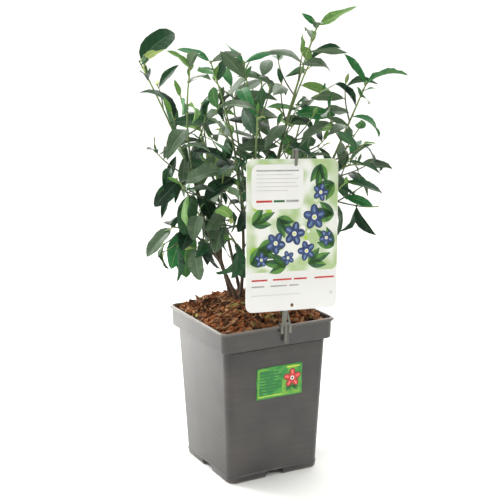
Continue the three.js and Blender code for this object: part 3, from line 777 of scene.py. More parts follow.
CANES = (
    CaneRow("west_tall", 156, 126, 285, -9, 0, 2, 2.2, 0.46, 3, 136, 0.7, ((-24, 52, 60, 62, 62),), leaf=47),
    CaneRow(
        "west_front", -168, 85, 280, 18, -15, 5, 2.4, 0.34, 5, 104, 0.2,
        ((-100, 62, 44, 70, 0), (170, 55, 34, 40, -40)), leaf=47,
    ),
    CaneRow(
        "north_west", 146, 45, 283, -16, -2, 1, 2.3, 0.34, 4, 124, 0.1,
        ((160, 40, 44, 50, -40), (-20, 30, 40, 40, 30)), leaf=59,
    ),
    CaneRow(
        "middle", 72, 36, 278, -3, -11, 0, 2.3, 0.4, 5, 30, 0.1,
        ((-30, 55, 52, 90, 25), (165, 55, 34, 25, -60)), leaf=44,
    ),
    CaneRow(
        "leader", -42, 80, 325, -14, -4, 3, 3.2, 0.38, 4, 10, 0.1,
        ((-30, 28, 49, 5, 40), (150, 45, 23, 20, -50)), leaf=44,
    ),
    CaneRow(
        "east_tall", -34, 134, 258, 4, 0, 8, 2.6, 0.45, 4, 234, 0.1,
        ((-27, 40, 53, 60, 15), (150, 62, 44, 30, -60)), leaf=44,
    ),
    CaneRow("north_east", 52, 89, 258, 0, 0, 1, 2.4, 0.4, 3, 314, 0.3, ((30, 50, 47, 60, 40),)),
    CaneRow("east_mid", 14, 112, 211, 0, 0, 4, 2.2, 0.4, 3, 102, 0.4, ((-10, 20, 51, 50, 40),), leaf=55),
    CaneRow("back_west", 95, 118, 204, 0, 0, 8, 2.3, 0.38, 3, 336, 0.6, ((100, 30, 51, 60, -30),), leaf=61),
    CaneRow("back_east", 30, 128, 215, 0, 0, 8, 2.3, 0.4, 4, 12, 0.4, ((40, 35, 51, 60, 20),), leaf=59),
    CaneRow("front", -109, 60, 232, 0, 0, 25, 2.2, 0.45, 3, 130, 0.5, ((-170, 40, 49, 70, -30),), leaf=47),
    CaneRow(
        "leader_fork", -6, 78, 282, -8, 6, 2, 1.9, 0.35, 3, 178, 0.1,
        ((-20, 45, 44, 60, 30),), "leader", 0.24,
    ),
    CaneRow(
        "east_low", -45, 116, 148, 6, 0, 13, 1.7, 0.3, 3, 150, 0.6,
        ((-25, -5, 49, 40, 40),), "east_tall", 0.22, leaf=64,
    ),
    CaneRow(
        "east_wide", -12, 136, 156, 0, 0, 20, 1.7, 0.3, 2, 100, 0.1,
        ((-20, 0, 47, 30, 50),), "east_tall", 0.34, leaf=45,
    ),
    CaneRow(
        "west_low", 161, 92, 92, 0, 0, 12, 1.7, 0.28, 4, 292, 1.4,
        ((165, -40, 47, 20, -30),), "west_tall", 0.14, leaf=64, slim=0.54,
    ),
    CaneRow(
        "front_west", -145, 64, 166, 4, 0, 10, 1.8, 0.2, 5, 226, 0.9,
        ((170, 0, 51, 70, -50),), "west_front", 0.16, leaf=62, slim=0.54,
    ),
    CaneRow(
        "front_low", -165, 42, 96, 2, 0, 8, 1.6, 0.25, 4, 242, 1.2,
        ((-130, -10, 47, 40, 0),), "front", 0.1, leaf=60, slim=0.54,
    ),
    CaneRow(
        "front_mid", -138, 42, 148, 0, 0, 6, 1.6, 0.2, 5, 64, 0.6,
        ((-160, 10, 51, 60, -20),), "front", 0.2, leaf=64, slim=0.54,
    ),
    CaneRow(
        "back_mid", 79, 73, 246, 6, 0, 3, 1.8, 0.3, 3, 68, 0.2,
        ((90, 50, 47, 50, 0),), "middle", 0.22, leaf=63,
    ),
    CaneRow(
        "back_far", 58, 124, 224, 4, 0, 8, 1.8, 0.3, 3, 106, 0.2,
        ((65, 35, 49, 60, 30),), "north_east", 0.2, leaf=49,
    ),
)


@dataclass(frozen=True)
class Limb:
    """A limb's axis from its foot to its tip, bowed at its middle, and its radius along it."""

    foot: Array
    tip: Array
    bow: Array
    girth: float
    tip_girth: float
    flared: bool = False

    FLARE = 1.5
    FLARE_HEIGHT = 14.0

    @property
    def length(self) -> float:
        """About how long the bowed axis is: its chord, and twice the bow's square over the chord."""
        chord = float(np.linalg.norm(self.tip - self.foot))
        return chord + 2 * float(self.bow @ self.bow) / chord

    def at(self, share: float | Array) -> Array:
        """The points at shares of the length: a straight line plus the bow times 4t(1-t)."""
        t = np.asarray(share, float)[..., None]
        return self.foot * (1 - t) + self.tip * t + self.bow * (4 * t * (1 - t))

    def along(self, share: float | Array) -> Array:
        """The directions there."""
        t = np.asarray(share, float)[..., None]
        return unit(self.tip - self.foot + self.bow * (4 * (1 - 2 * t)))

    def radius(self, share: float | Array) -> Array:
        """The radii at shares of the length.

        They fall with the power 0.8 of the share, and a cane's foot has a flare that rises as a square.

        Args:
            share: the shares.

        Returns:
            A radius for each.
        """
        t = np.asarray(share, float)
        plain = self.girth + (self.tip_girth - self.girth) * np.clip(t, 0, 1) ** 0.8
        rise = t * self.length / self.FLARE_HEIGHT
        return plain * (1 + (self.FLARE - 1) * np.clip(1 - rise, 0, 1.2) ** 2) if self.flared else plain

    def spots(self, start: float, end: float) -> Array:
        """Points every few millimetres between two shares of the length."""
        count = math.ceil((end - start) * self.length / 7)
        return self.at(start + (end - start) * np.arange(count + 1) / count)


@dataclass(frozen=True)
class Leaf:
    """A leaf's plan: its root, the way it runs, its side and up, its length and its bend in radians."""

    root: Array
    run: Array
    side: Array
    up: Array
    length: float
    arch: float
    slim: float  # its width as a share of its length
    share: float = 0.5  # of the shoot below it

    @classmethod
    def facing(
        cls,
        root: Array,
        run: Array,
        face: Array,
        length: float,
        arch: float,
        slim: float,
        share: float,
    ) -> "Leaf":
        """A leaf that runs one way and shows its upper side another."""
        side = unit(np.cross(face, run))
        return cls(root, run, side, unit(np.cross(run, side)), length, max(arch, 0.01), slim, share)

    def point(self, share: float, aside: float = 0.0) -> Array:
        """A point of the blade, which is an arc of constant bend.

        Args:
            share: how far along the arc.
            aside: how far to the side of it, in mm.

        Returns:
            The point.
        """
        bend = self.arch * share
        forward = math.sin(bend) / self.arch * self.length
        down = (math.cos(bend) - 1) / self.arch * self.length
        return self.root + self.run * forward + self.up * down + self.side * aside

    def spots(self) -> Array:
        """The spots that keep its blade clear of other blades."""
        aside = 0.35 * self.slim * self.length
        places = ((0.4, 0.0), (0.7, 0.0), (1.0, 0.0), (0.55, aside), (0.55, -aside))
        return np.array([self.point(*place) for place in places])


@dataclass
class Mass:
    """What grows on one cane: its own axis, its side twigs and its leaves."""

    row: CaneRow
    limb: Limb
    chance: RandomStream
    twigs: list[Limb] = field(default_factory=list)
    leaves: list[Leaf] = field(default_factory=list)


@dataclass
class Crown:
    """The space of the crown, with the spots that limbs and blades have taken in it."""

    card: Placement
    card_half: float
    card_height: float
    stake_foot: tuple[float, float]
    stake_top: float
    hook: float
    middle: tuple[float, float] = (13.0, -7.0)
    reach: float = 142.0
    low_z: float = 214.0
    low_reach: float = 104.0
    widening: float = 0.45  # mm by which the reach grows with each mm of height
    leaf_room: float = 8.5
    limb_room: float = 5.0
    label_room: float = 5.0
    limb_spots: Array = field(default_factory=lambda: np.empty((0, 3)))
    leaf_spots: Array = field(default_factory=lambda: np.empty((0, 3)))

    def take_limb(self, limb: Limb) -> None:
        """Keeps the room along a limb."""
        self.limb_spots = np.concatenate([self.limb_spots, limb.spots(0, 1)])

    def take_leaf(self, leaf: Leaf) -> None:
        """Keeps the room of a blade."""
        self.leaf_spots = np.concatenate([self.leaf_spots, leaf.spots()])

    def crowded(self, points: Array, leaf_room: float) -> bool:
        """Whether any of these points is out of the space or too near a limb or a blade.

        Args:
            points: the points.
            leaf_room: how far they keep from the spots of blades.

        Returns:
            Whether one is.
        """
        if self.outside(points).any():
            return True
        for spots, room in ((self.limb_spots, self.limb_room), (self.leaf_spots, leaf_room)):
            if len(spots) and (np.linalg.norm(spots[:, None] - points[None], axis=2) < room).any():
                return True
        return False

    def outside(self, points: Array) -> Array:
        """Which points are by the label or its stake, too low, or beyond the crown's reach.

        The reach grows with the height, up to the whole.

        Args:
            points: the points.

        Returns:
            True for each that is.
        """
        local = self.card.local(points)
        beside = np.abs(local[:, 0]) < self.card_half + self.label_room
        level = (local[:, 2] < self.hook) & (local[:, 2] > -self.card_height - self.label_room)
        in_card = beside & level & (np.abs(local[:, 1]) < 2 * self.label_room)
        stake = np.hypot(points[:, 0] - self.stake_foot[0], points[:, 1] - self.stake_foot[1])
        by_stake = (stake < 2 * self.label_room) & (points[:, 2] < self.stake_top + self.label_room)
        reach = np.minimum(self.reach, self.low_reach + self.widening * (points[:, 2] - self.low_z))
        far = np.hypot(points[:, 0] - self.middle[0], points[:, 1] - self.middle[1]) > reach
        return in_card | by_stake | far | (points[:, 2] < self.low_z)


@dataclass
class Growth:
    """The rule by which the bush grows, step by step the same as in the part's source.

    At the end its leaves open out: those in the light on top grow longer, those in the shade stay short, and
    a leaf that has lost its room falls, so that the sky shows between the tiers.
    """

    mulch_top: float
    crown: Crown
    turn: float = 137.5
    gap: float = 15.0
    low_spread: float = 84.0
    top_spread: float = 55.0
    low_arch: float = 72.0
    top_arch: float = 44.0
    tries: int = 5
    retry: float = 49.0
    roll: float = 110.0
    twig_low: float = 78.0
    twig_top: float = 44.0
    twig_girth: float = 1.0
    twig_tip: float = 0.6
    cane_tip: float = 0.8
    light_z: tuple[float, float] = (300.0, 430.0)  # heights of full shade and of full light
    stretch: tuple[float, float] = (0.9, 1.35)  # of a leaf's length in the shade and in the light
    open_room: tuple[float, float] = (9.0, 12.2)  # mm between the blades that stay, in shade and in light
    foot_out: tuple[float, float] = (6.0, 0.13)  # of a cane: mm from the axis, and a share of its reach

    def limbs(self) -> dict[str, Limb]:
        """The axis of each cane by name, those from the mulch first and then the forks."""
        made: dict[str, Limb] = {}
        for row in CANES:
            lean = math.radians(row.lean)
            out = np.array([math.cos(lean), math.sin(lean), 0.0])
            if row.parent:
                foot = made[row.parent].at(row.at)
            else:
                foot = out * (self.foot_out[0] + self.foot_out[1] * row.reach) + UP * (self.mulch_top + GAP)
            tip = out * row.reach + UP * (self.mulch_top + row.height)
            bow = out * row.belly + np.cross(UP, out) * row.sway + UP * row.arch
            made[row.name] = Limb(foot, tip, bow, row.girth, self.cane_tip, row.parent is None)
        return made

    @staticmethod
    def outward(shoot: Array, angle: float) -> Array:
        """Sideways from a shoot, at an angle round it."""
        first = unit(np.cross(np.array([-0.13, 1.0, 0.0]), shoot))
        return first * math.cos(angle) + np.cross(shoot, first) * math.sin(angle)

    def twigs(self, mass: Mass) -> list[Limb]:
        """The side twigs of a cane's leafy end, each curving up and out to its own tip.

        They shorten up the cane, and each starts two leaf turns round it from the last. Its tip lies 0.7 of
        its length along the cane and 0.72 outwards from its foot, and a cane's hang lets it sink.

        Args:
            mass: what they belong to.

        Returns:
            Those that find room, from the lowest.
        """
        row, limb, chance = mass.row, mass.limb, mass.chance
        grown = []
        for k in range(row.twigs):
            share = (k + 0.5) / row.twigs
            t = lerp(row.bare + 0.04, 0.86, share)
            shoot = limb.along(t)
            angle = math.radians(row.spin + 100 + 2 * self.turn * k + 40 * (chance() - 0.5))
            length = lerp(self.twig_low, self.twig_top, share) * (0.8 + 0.4 * chance())
            for attempt in range(self.tries):
                outward = self.outward(shoot, angle + math.radians(self.retry * attempt))
                foot = limb.at(t)
                tip = foot + shoot * (0.7 * length) + outward * (0.72 * length)
                tip = tip - UP * (0.3 * row.hang * length)
                girth = min(self.twig_girth, float(limb.radius(t)))
                twig = Limb(foot, tip, outward * (0.1 * length), girth, self.twig_tip)
                if not self.crown.crowded(twig.spots(0.3, 1), self.crown.limb_room):
                    self.crown.take_limb(twig)
                    grown.append(twig)
                    break
        return grown

    def leaves(self, mass: Mass, limb: Limb, start: float, length: float, spin: float) -> list[Leaf]:
        """The leaves round a limb from one share of its length to its tip, except those that find no room.

        Up the limb they spread, bend and hang less. Their size rises in a straight line and falls with the
        cube of the share, so the largest stand about the middle.

        Args:
            mass: what it belongs to, with the row that hangs its leaves and the stream that varies them.
            limb: the shoot or twig that carries them.
            start: the share of its length where they begin.
            length: the usual length of a leaf.
            spin: the angle round the limb of the first one, in degrees.

        Returns:
            Their plans, from the lowest.
        """
        row, chance = mass.row, mass.chance
        count = max(2, math.floor((1 - start) * limb.length / self.gap + 0.5))
        grown = []
        for k in range(count):
            share = ((k + 0.6) / count) ** 0.9
            t = lerp(start, 1, share)
            shoot = limb.along(t)
            angle = math.radians(spin + self.turn * k + 24 * (chance() - 0.5))
            spread = math.radians(lerp(self.low_spread, self.top_spread, share) + 24 * (chance() - 0.5))
            pull = row.hang * (1.15 - share) * (0.5 + chance())
            roll = math.radians(self.roll * (chance() - 0.5))
            size = length * (0.72 + 0.5 * share - 0.72 * share**3) * (0.82 + 0.36 * chance())
            arch = math.radians(lerp(self.low_arch, self.top_arch, share) * (0.3 + 1.4 * chance()))
            for attempt in range(self.tries):
                outward = self.outward(shoot, angle + math.radians(self.retry * attempt))
                run = unit(shoot * math.cos(spread) + outward * math.sin(spread) - UP * pull)
                face = turn_about(UP + outward * 0.35, run, roll)
                leaf = Leaf.facing(limb.at(t), run, face, size, arch, row.slim, share)
                if not self.crown.crowded(leaf.spots(), self.crown.leaf_room):
                    self.crown.take_leaf(leaf)
                    grown.append(leaf)
                    break
        return grown

    @staticmethod
    def tip_leaf(limb: Limb, plan: tuple[float, float, float, float, float], slim: float) -> Leaf:
        """A leaf at a limb's very tip.

        Args:
            limb: the limb.
            plan: the leaf's compass angle, rise, length, bend and roll.
            slim: its width as a share of its length.

        Returns:
            The leaf.
        """
        lean, rise, length, bend, roll = plan
        lean, rise = math.radians(lean), math.radians(rise)
        level = math.cos(rise)
        run = np.array([math.cos(lean) * level, math.sin(lean) * level, math.sin(rise)])
        face = turn_about(UP, run, math.radians(roll))
        return Leaf.facing(limb.at(0.995), run, face, length, math.radians(bend), slim, 0.4)

    def tip_leaves(self, mass: Mass) -> list[Leaf]:
        """The leaves at a cane's very tip, which give the crown its outline."""
        return [self.tip_leaf(mass.limb, plan, mass.row.slim) for plan in mass.row.crown]

    def grow(self) -> list[Mass]:
        """Every cane's mass: first the limbs find room, then the leaves at the tips, then the rest."""
        limbs = self.limbs()
        for row in CANES:
            self.crown.take_limb(limbs[row.name])
        masses = []
        for i, row in enumerate(CANES):
            mass = Mass(row, limbs[row.name], RandomStream(1000 * (i + 1)))
            mass.twigs = self.twigs(mass)
            masses.append(mass)
        for mass in masses:
            mass.leaves = self.tip_leaves(mass)
            for leaf in mass.leaves:
                self.crown.take_leaf(leaf)
        for mass in masses:
            row = mass.row
            mass.leaves += self.leaves(mass, mass.limb, row.bare + 0.03, row.leaf, row.spin)
            for k, twig in enumerate(mass.twigs):
                mass.leaves += self.leaves(mass, twig, 0.3, 0.92 * row.leaf, row.spin + 70 * (k + 1))
        self.open_out(masses)
        return masses

    def open_out(self, masses: Sequence[Mass]) -> None:
        """Draws the leaves out by the light they get, and drops those that have no room any more.

        Leaves find their room from the tips down, so that no twig ends bare.

        Args:
            masses: what has grown on every cane. Their leaves are replaced.
        """
        self.crown.leaf_spots = np.empty((0, 3))
        for mass in masses:
            for leaf in mass.leaves[: len(mass.row.crown)]:
                self.crown.take_leaf(leaf)
        for mass in masses:
            tips = len(mass.row.crown)
            kept = mass.leaves[:tips]
            for leaf in reversed(mass.leaves[tips:]):
                light = come_from(*self.light_z, leaf.root[2])
                opened = replace(leaf, length=leaf.length * lerp(*self.stretch, light))
                if not self.crown.crowded(opened.spots(), lerp(*self.open_room, light)):
                    self.crown.take_leaf(opened)
                    kept.append(opened)
            mass.leaves = kept


# ---------------- pot and mulch


def square_rings(rows: Iterable[tuple[float, float, float]], steps: int) -> Array:
    """Square rings one above the other, from rows of half width, corner radius and height."""
    rings = [laid(rounded_rectangle(2 * half, 2 * half, corner, steps), z) for half, corner, z in rows]
    return np.stack(rings)


@dataclass
class Pot:
    """The thin square pot: tapered body, wide band, rolled lip and four drainage channels."""

    height: float = 190.0
    lip_half: float = 75.0
    band_half: float = 72.3
    band_flare: float = 0.5  # by which the band widens up to the lip
    foot_half: float = 59.8
    shoulder_half: float = 67.2
    shoulder_z: float = 165.0
    lip_drop: float = 4.0
    lip_round: float = 1.5
    wall: float = 2.0
    floor: float = 2.5
    corner: float = 9.7
    lip_corner: float = 8.0
    channel_width: float = 24.0
    channel_height: float = 7.5
    channel_inner: float = 26.0
    channel_roof: float = 2.0
    foot_z: float = 9.2
    foot_step: float = 0.6  # mm by which the foot stands proud
    undercut: float = 0.8
    corner_steps: int = 12

    @property
    def band_top(self) -> float:
        """Half the outer width at the top of the band."""
        return self.band_half + self.band_flare

    def body_half(self, z: float) -> float:
        """Half the outer width of the tapered body at a height."""
        return lerp(self.foot_half, self.shoulder_half, z / self.shoulder_z)

    def shell(self) -> Surface:
        """The outside, the rim and the inside, as rings from the ground up and down again.

        The lip's edge is half an ellipse, lip_drop high and lip_round deep.
        """
        wall, corner, lip_corner, lip_half = self.wall, self.corner, self.lip_corner, self.lip_half
        lip_z, half_drop = self.height - self.lip_drop, self.lip_drop / 2
        lip = []
        for angle in np.radians(np.linspace(-90, 90, 9)):
            edge = lip_half - self.lip_round * (1 - math.cos(angle))
            lip.append((edge, lip_corner, self.height - half_drop + half_drop * math.sin(angle)))
        # Half width, corner radius and height: foot, ledge, band, lip, then down inside to the floor.
        rows = [
            (self.foot_half - 1.2, corner - 1, 0),
            (self.foot_half + 0.2 * self.foot_step, corner, 1.5),
            (self.body_half(self.foot_z) + self.foot_step, corner, self.foot_z - 0.8),
            (self.body_half(self.foot_z), corner, self.foot_z),
            (self.body_half(self.shoulder_z - 2.2), corner, self.shoulder_z - 2.2),
            (self.body_half(self.shoulder_z) - self.undercut, corner, self.shoulder_z - 1.5),
            (self.body_half(self.shoulder_z) - self.undercut, corner, self.shoulder_z - 0.1),
            (self.band_half - 0.8, lip_corner, self.shoulder_z),
            (self.band_half, lip_corner, self.shoulder_z + 1),
            (self.band_top, lip_corner, lip_z),
            *lip,
            (lip_half - wall - 1, lip_corner - 1.5, self.height),
            (self.band_top - wall, lip_corner - wall, lip_z),
            (self.band_half - wall, lip_corner - wall, self.shoulder_z + 2.5),
            (self.body_half(self.shoulder_z) - wall, corner - wall, self.shoulder_z - 1),
            (self.body_half(0) - wall, corner - wall, self.floor),
        ]
        return closed_loft(square_rings(rows, self.corner_steps))

    def channels(self, grow: float) -> Surface:
        """Four boxes through the foot of the walls.

        Args:
            grow: 0 for the channels, or how far the block of their roof reaches round each.

        Returns:
            The boxes.
        """
        inner, half = self.channel_inner - grow, self.channel_width / 2 + grow
        # A channel opens through the wall and the ground, and its roof's block ends inside them.
        outer = self.body_half(0) - self.wall + 0.5 if grow > 0 else self.foot_half + 5
        ring = np.array([[inner, -half], [outer, -half], [outer, half], [inner, half]])
        low, high = 0.5 if grow > 0 else -1.0, self.channel_height + grow
        box = closed_loft(np.stack([laid(ring, z) for z in (low, high)]))
        quarter = np.array([[0.0, -1.0, 0.0], [1.0, 0.0, 0.0], [0.0, 0.0, 1.0]])
        sides = [box.points @ np.linalg.matrix_power(quarter, side).T for side in range(4)]
        return joined([replace(box, points=points) for points in sides])

    def build(self) -> None:
        """Builds the pot, with its channels cut and its edges softened as a mould leaves them."""
        roofs = new_object("channel_roofs", build_mesh("channel_roofs", self.channels(self.channel_roof)))
        channels = new_object("channels", build_mesh("channels", self.channels(0.0)))
        steps = [
            ("BOOLEAN", {"operation": "UNION", "object": roofs, "solver": "EXACT"}),
            ("BOOLEAN", {"operation": "DIFFERENCE", "object": channels, "solver": "EXACT"}),
            soft_edges(0.45),
        ]
        mesh = with_modifiers(build_mesh("pot_shell", self.shell()), steps)
        for tool in (roofs, channels):
            bpy.data.objects.remove(tool)
        build_piece("pot_shell", mesh, [POT_PLASTIC.material()], "pot", sharp=35)


@dataclass(frozen=True)
class Litter:
    """One sort of loose bark: how many pieces, the ranges of their sizes in mm, and the tones they lack."""

    count: int
    long: tuple[float, float]
    wide: tuple[float, float]
    thick: tuple[float, float]
    tilt: float  # radians
    lacks: tuple[ChipTone, ...] = ()

    def sizes(self, rng: Generator) -> tuple[Array, Array, Array]:
        """The length, width and thickness of every piece, by powers that make most pieces small."""
        share = rng.uniform(0, 1, (3, self.count)) ** np.array([[1.7], [1.5], [1.3]])
        return tuple(lerp(*ends, part) for ends, part in zip((self.long, self.wide, self.thick), share))


CHIPS = Litter(1500, (5, 19), (2.5, 8.0), (1.0, 4.2), 0.4, (ChipTone.STRAW,))
CRUMBS = Litter(1300, (1.5, 5), (1.0, 3.0), (0.6, 1.8), 0.5)
FIBRES = Litter(520, (6, 22), (0.5, 1.1), (0.4, 0.8), 0.3, (ChipTone.DARK, ChipTone.BROWN, ChipTone.MOSSY))


@dataclass
class Mulch:
    """The bark mulch: a bed that fills the pot and heaps up in the middle, under a layer of loose bark."""

    pot: Pot
    edge_z: float = 184.0
    crown_z: float = 204.0
    crown_half: float = 28.0
    seed: int = 7

    @property
    def edge_half(self) -> float:
        """Half the width of the bed where it meets the band."""
        return self.pot.band_half - self.pot.wall - GAP

    def level(self, x: Array, y: Array) -> Array:
        """The bed's height at some places: a sine from its edge to its flat crown, over rounded squares."""
        share = come_from(self.edge_half, self.crown_half, (np.abs(x) ** 6 + np.abs(y) ** 6) ** (1 / 6))
        return lerp(self.edge_z, self.crown_z, np.sin(np.pi / 2 * share))

    def bed(self) -> Surface:
        """The fill: rings up the inside of the pot, then smaller ones over the heap, randomly rough."""
        pot = self.pot
        inside = pot.wall + GAP
        corner = pot.corner - inside
        sides = [
            (pot.body_half(0) - inside, corner, pot.channel_height + pot.channel_roof + 2 * GAP),
            (pot.body_half(pot.shoulder_z) - inside, corner, pot.shoulder_z - 1),
            (self.edge_half, corner, pot.shoulder_z + 3),
            (self.edge_half, corner, self.edge_z),
        ]
        shares = np.linspace(0.04, 0.97, 26)
        tops = [(self.edge_half * (1 - s), lerp(corner, 1.0, s) * (1 - s), 0.0) for s in shares]
        rings = square_rings(sides + tops, 14)
        heap = rings[len(sides) :]
        heap[..., 2] = self.level(heap[..., 0], heap[..., 1]) - 0.5
        rng = default_rng(self.seed)
        heap += rng.uniform(-1, 1, heap.shape) * np.array([0.8, 0.8, 1.6])
        return closed_loft(rings)

    def scatter(self, litter: Litter, rng: Generator) -> Surface:
        """All the pieces of one sort of bark, laid on the bed.

        Each is a splinter of six sides: a circle stretched along its grain and jittered, bent up or down
        along its length, under a smaller copy of itself lifted by its thickness. Its finish number is its
        tone.

        Args:
            litter: the sort.
            rng: settles sizes, places, turns and tones.

        Returns:
            The closed pieces.
        """
        n = litter.count
        half = self.edge_half - 2.0
        place = rng.uniform(-half, half, (n, 2))
        long, wide, thick = litter.sizes(rng)
        angle = np.radians(60 * np.arange(6))[None] + rng.uniform(-0.35, 0.35, (n, 6))
        spread = rng.uniform(0.7, 1.15, (n, 6))
        x, y = np.cos(angle) * long[:, None] * spread / 2, np.sin(angle) * wide[:, None] * spread / 2
        bent = rng.normal(0, 0.35, (n, 1)) * x**2 / long[:, None]
        inset = rng.uniform(0.5, 0.85, (n, 1))
        half_thick = thick[:, None] / 2
        low = np.stack([x, y, bent - half_thick], axis=-1)
        lift = half_thick * rng.uniform(0.5, 1.5, (n, 6))
        high = np.stack([x * inset, y * inset, bent * inset**2 + lift], axis=-1)
        heading, (pitch, roll) = rng.uniform(0, 2 * np.pi, n), rng.normal(0, litter.tilt, (2, n))
        turns = turns_round(2, heading) @ turns_round(1, pitch) @ turns_round(0, roll)
        points = np.einsum("nij,nkj->nki", turns, np.concatenate([low, high], axis=1))
        lie = self.level(place[:, 0], place[:, 1]) + rng.uniform(-0.8, 1.6, n) + 0.1 * long
        points += np.column_stack([place, lie])[:, None]
        edge = self.edge_half - GAP
        points[..., :2] = np.clip(points[..., :2], -edge, edge)
        weights = np.array([0 if tone in litter.lacks else tone.value[3] for tone in ChipTone], float)
        tone = rng.choice(len(weights), n, p=weights / weights.sum())
        groups = loft_faces(2, 6)
        finish = np.concatenate([np.repeat(tone, len(group)) for group in groups])
        return Surface(points.reshape(-1, 3), copied_faces(groups, n, 12), None, finish)

    def build(self) -> None:
        """Builds the bed in place of its solid, and each sort of loose bark on it."""
        build_piece("mulch_bed", self.bed(), [SOIL.material()], "bark_mulch")
        tones = [BarkChip(*tone.value[:3]).material() for tone in ChipTone]
        rng = default_rng(self.seed + 1)
        for name, litter in (("mulch_chips", CHIPS), ("mulch_crumbs", CRUMBS), ("mulch_fibres", FIBRES)):
            build_piece(name, self.scatter(litter, rng), tones, sharp=30)


# ---------------- canes, shoots and leaves


@dataclass(frozen=True)
class Skin:
    """How a limb's skin is drawn."""

    sides: int
    step: float  # mm between rings
    relief: float  # height of the ridges as a share of the radius


def limb_surface(limb: Limb, start: float, end: float, skin: Skin, seed: int) -> Surface:
    """A limb's skin between two shares of its length, carried as rings along its axis.

    The radius gets lengthwise ridges, two waves round the limb that wander along it, and a small swelling at
    each leaf scar, one every 14 mm.

    Args:
        limb: the axis.
        start: the share of its length where the skin starts.
        end: the share where it ends.
        skin: how it is drawn.
        seed: settles where the ridges run.

    Returns:
        The closed skin, with the share of the limb's length as the pattern's second coordinate.
    """
    rings = max(3, math.ceil((end - start) * limb.length / skin.step) + 1)
    share = np.linspace(start, end, rings)
    axis, along = limb.at(share), limb.along(share)
    helper = np.array([1.0, 0.13, 0.0])
    first = unit(helper - along * (along @ helper)[:, None])
    second = np.cross(along, first)
    angle = 2 * np.pi * np.arange(skin.sides) / skin.sides
    phase = default_rng(seed).uniform(0, 2 * np.pi, 4)
    run = (share * limb.length)[:, None]
    ridges = np.sin(3 * angle + run / 9 + phase[0]) + 0.7 * np.sin(5 * angle - run / 14 + phase[1])
    knots = np.sin(run / 3.1 + phase[2]) * np.sin(2 * angle + phase[3])
    scars = np.exp(-(((run + 7) % 14 - 7) ** 2) / 1.6)
    radius = limb.radius(share)[:, None] * (1 + skin.relief * (0.5 * ridges + 0.3 * knots) + 0.16 * scars)
    ring = np.cos(angle)[None, :, None] * first[:, None] + np.sin(angle)[None, :, None] * second[:, None]
    points = axis[:, None] + radius[..., None] * ring
    return closed_loft(points, pattern_map(angle[None] / (2 * np.pi), share[:, None]))


def gathered(leaves: Sequence[Leaf], *names: str) -> list[Array]:
    """An array for each named value of some leaves' plans."""
    return [np.array([getattr(leaf, name) for leaf in leaves]) for name in names]


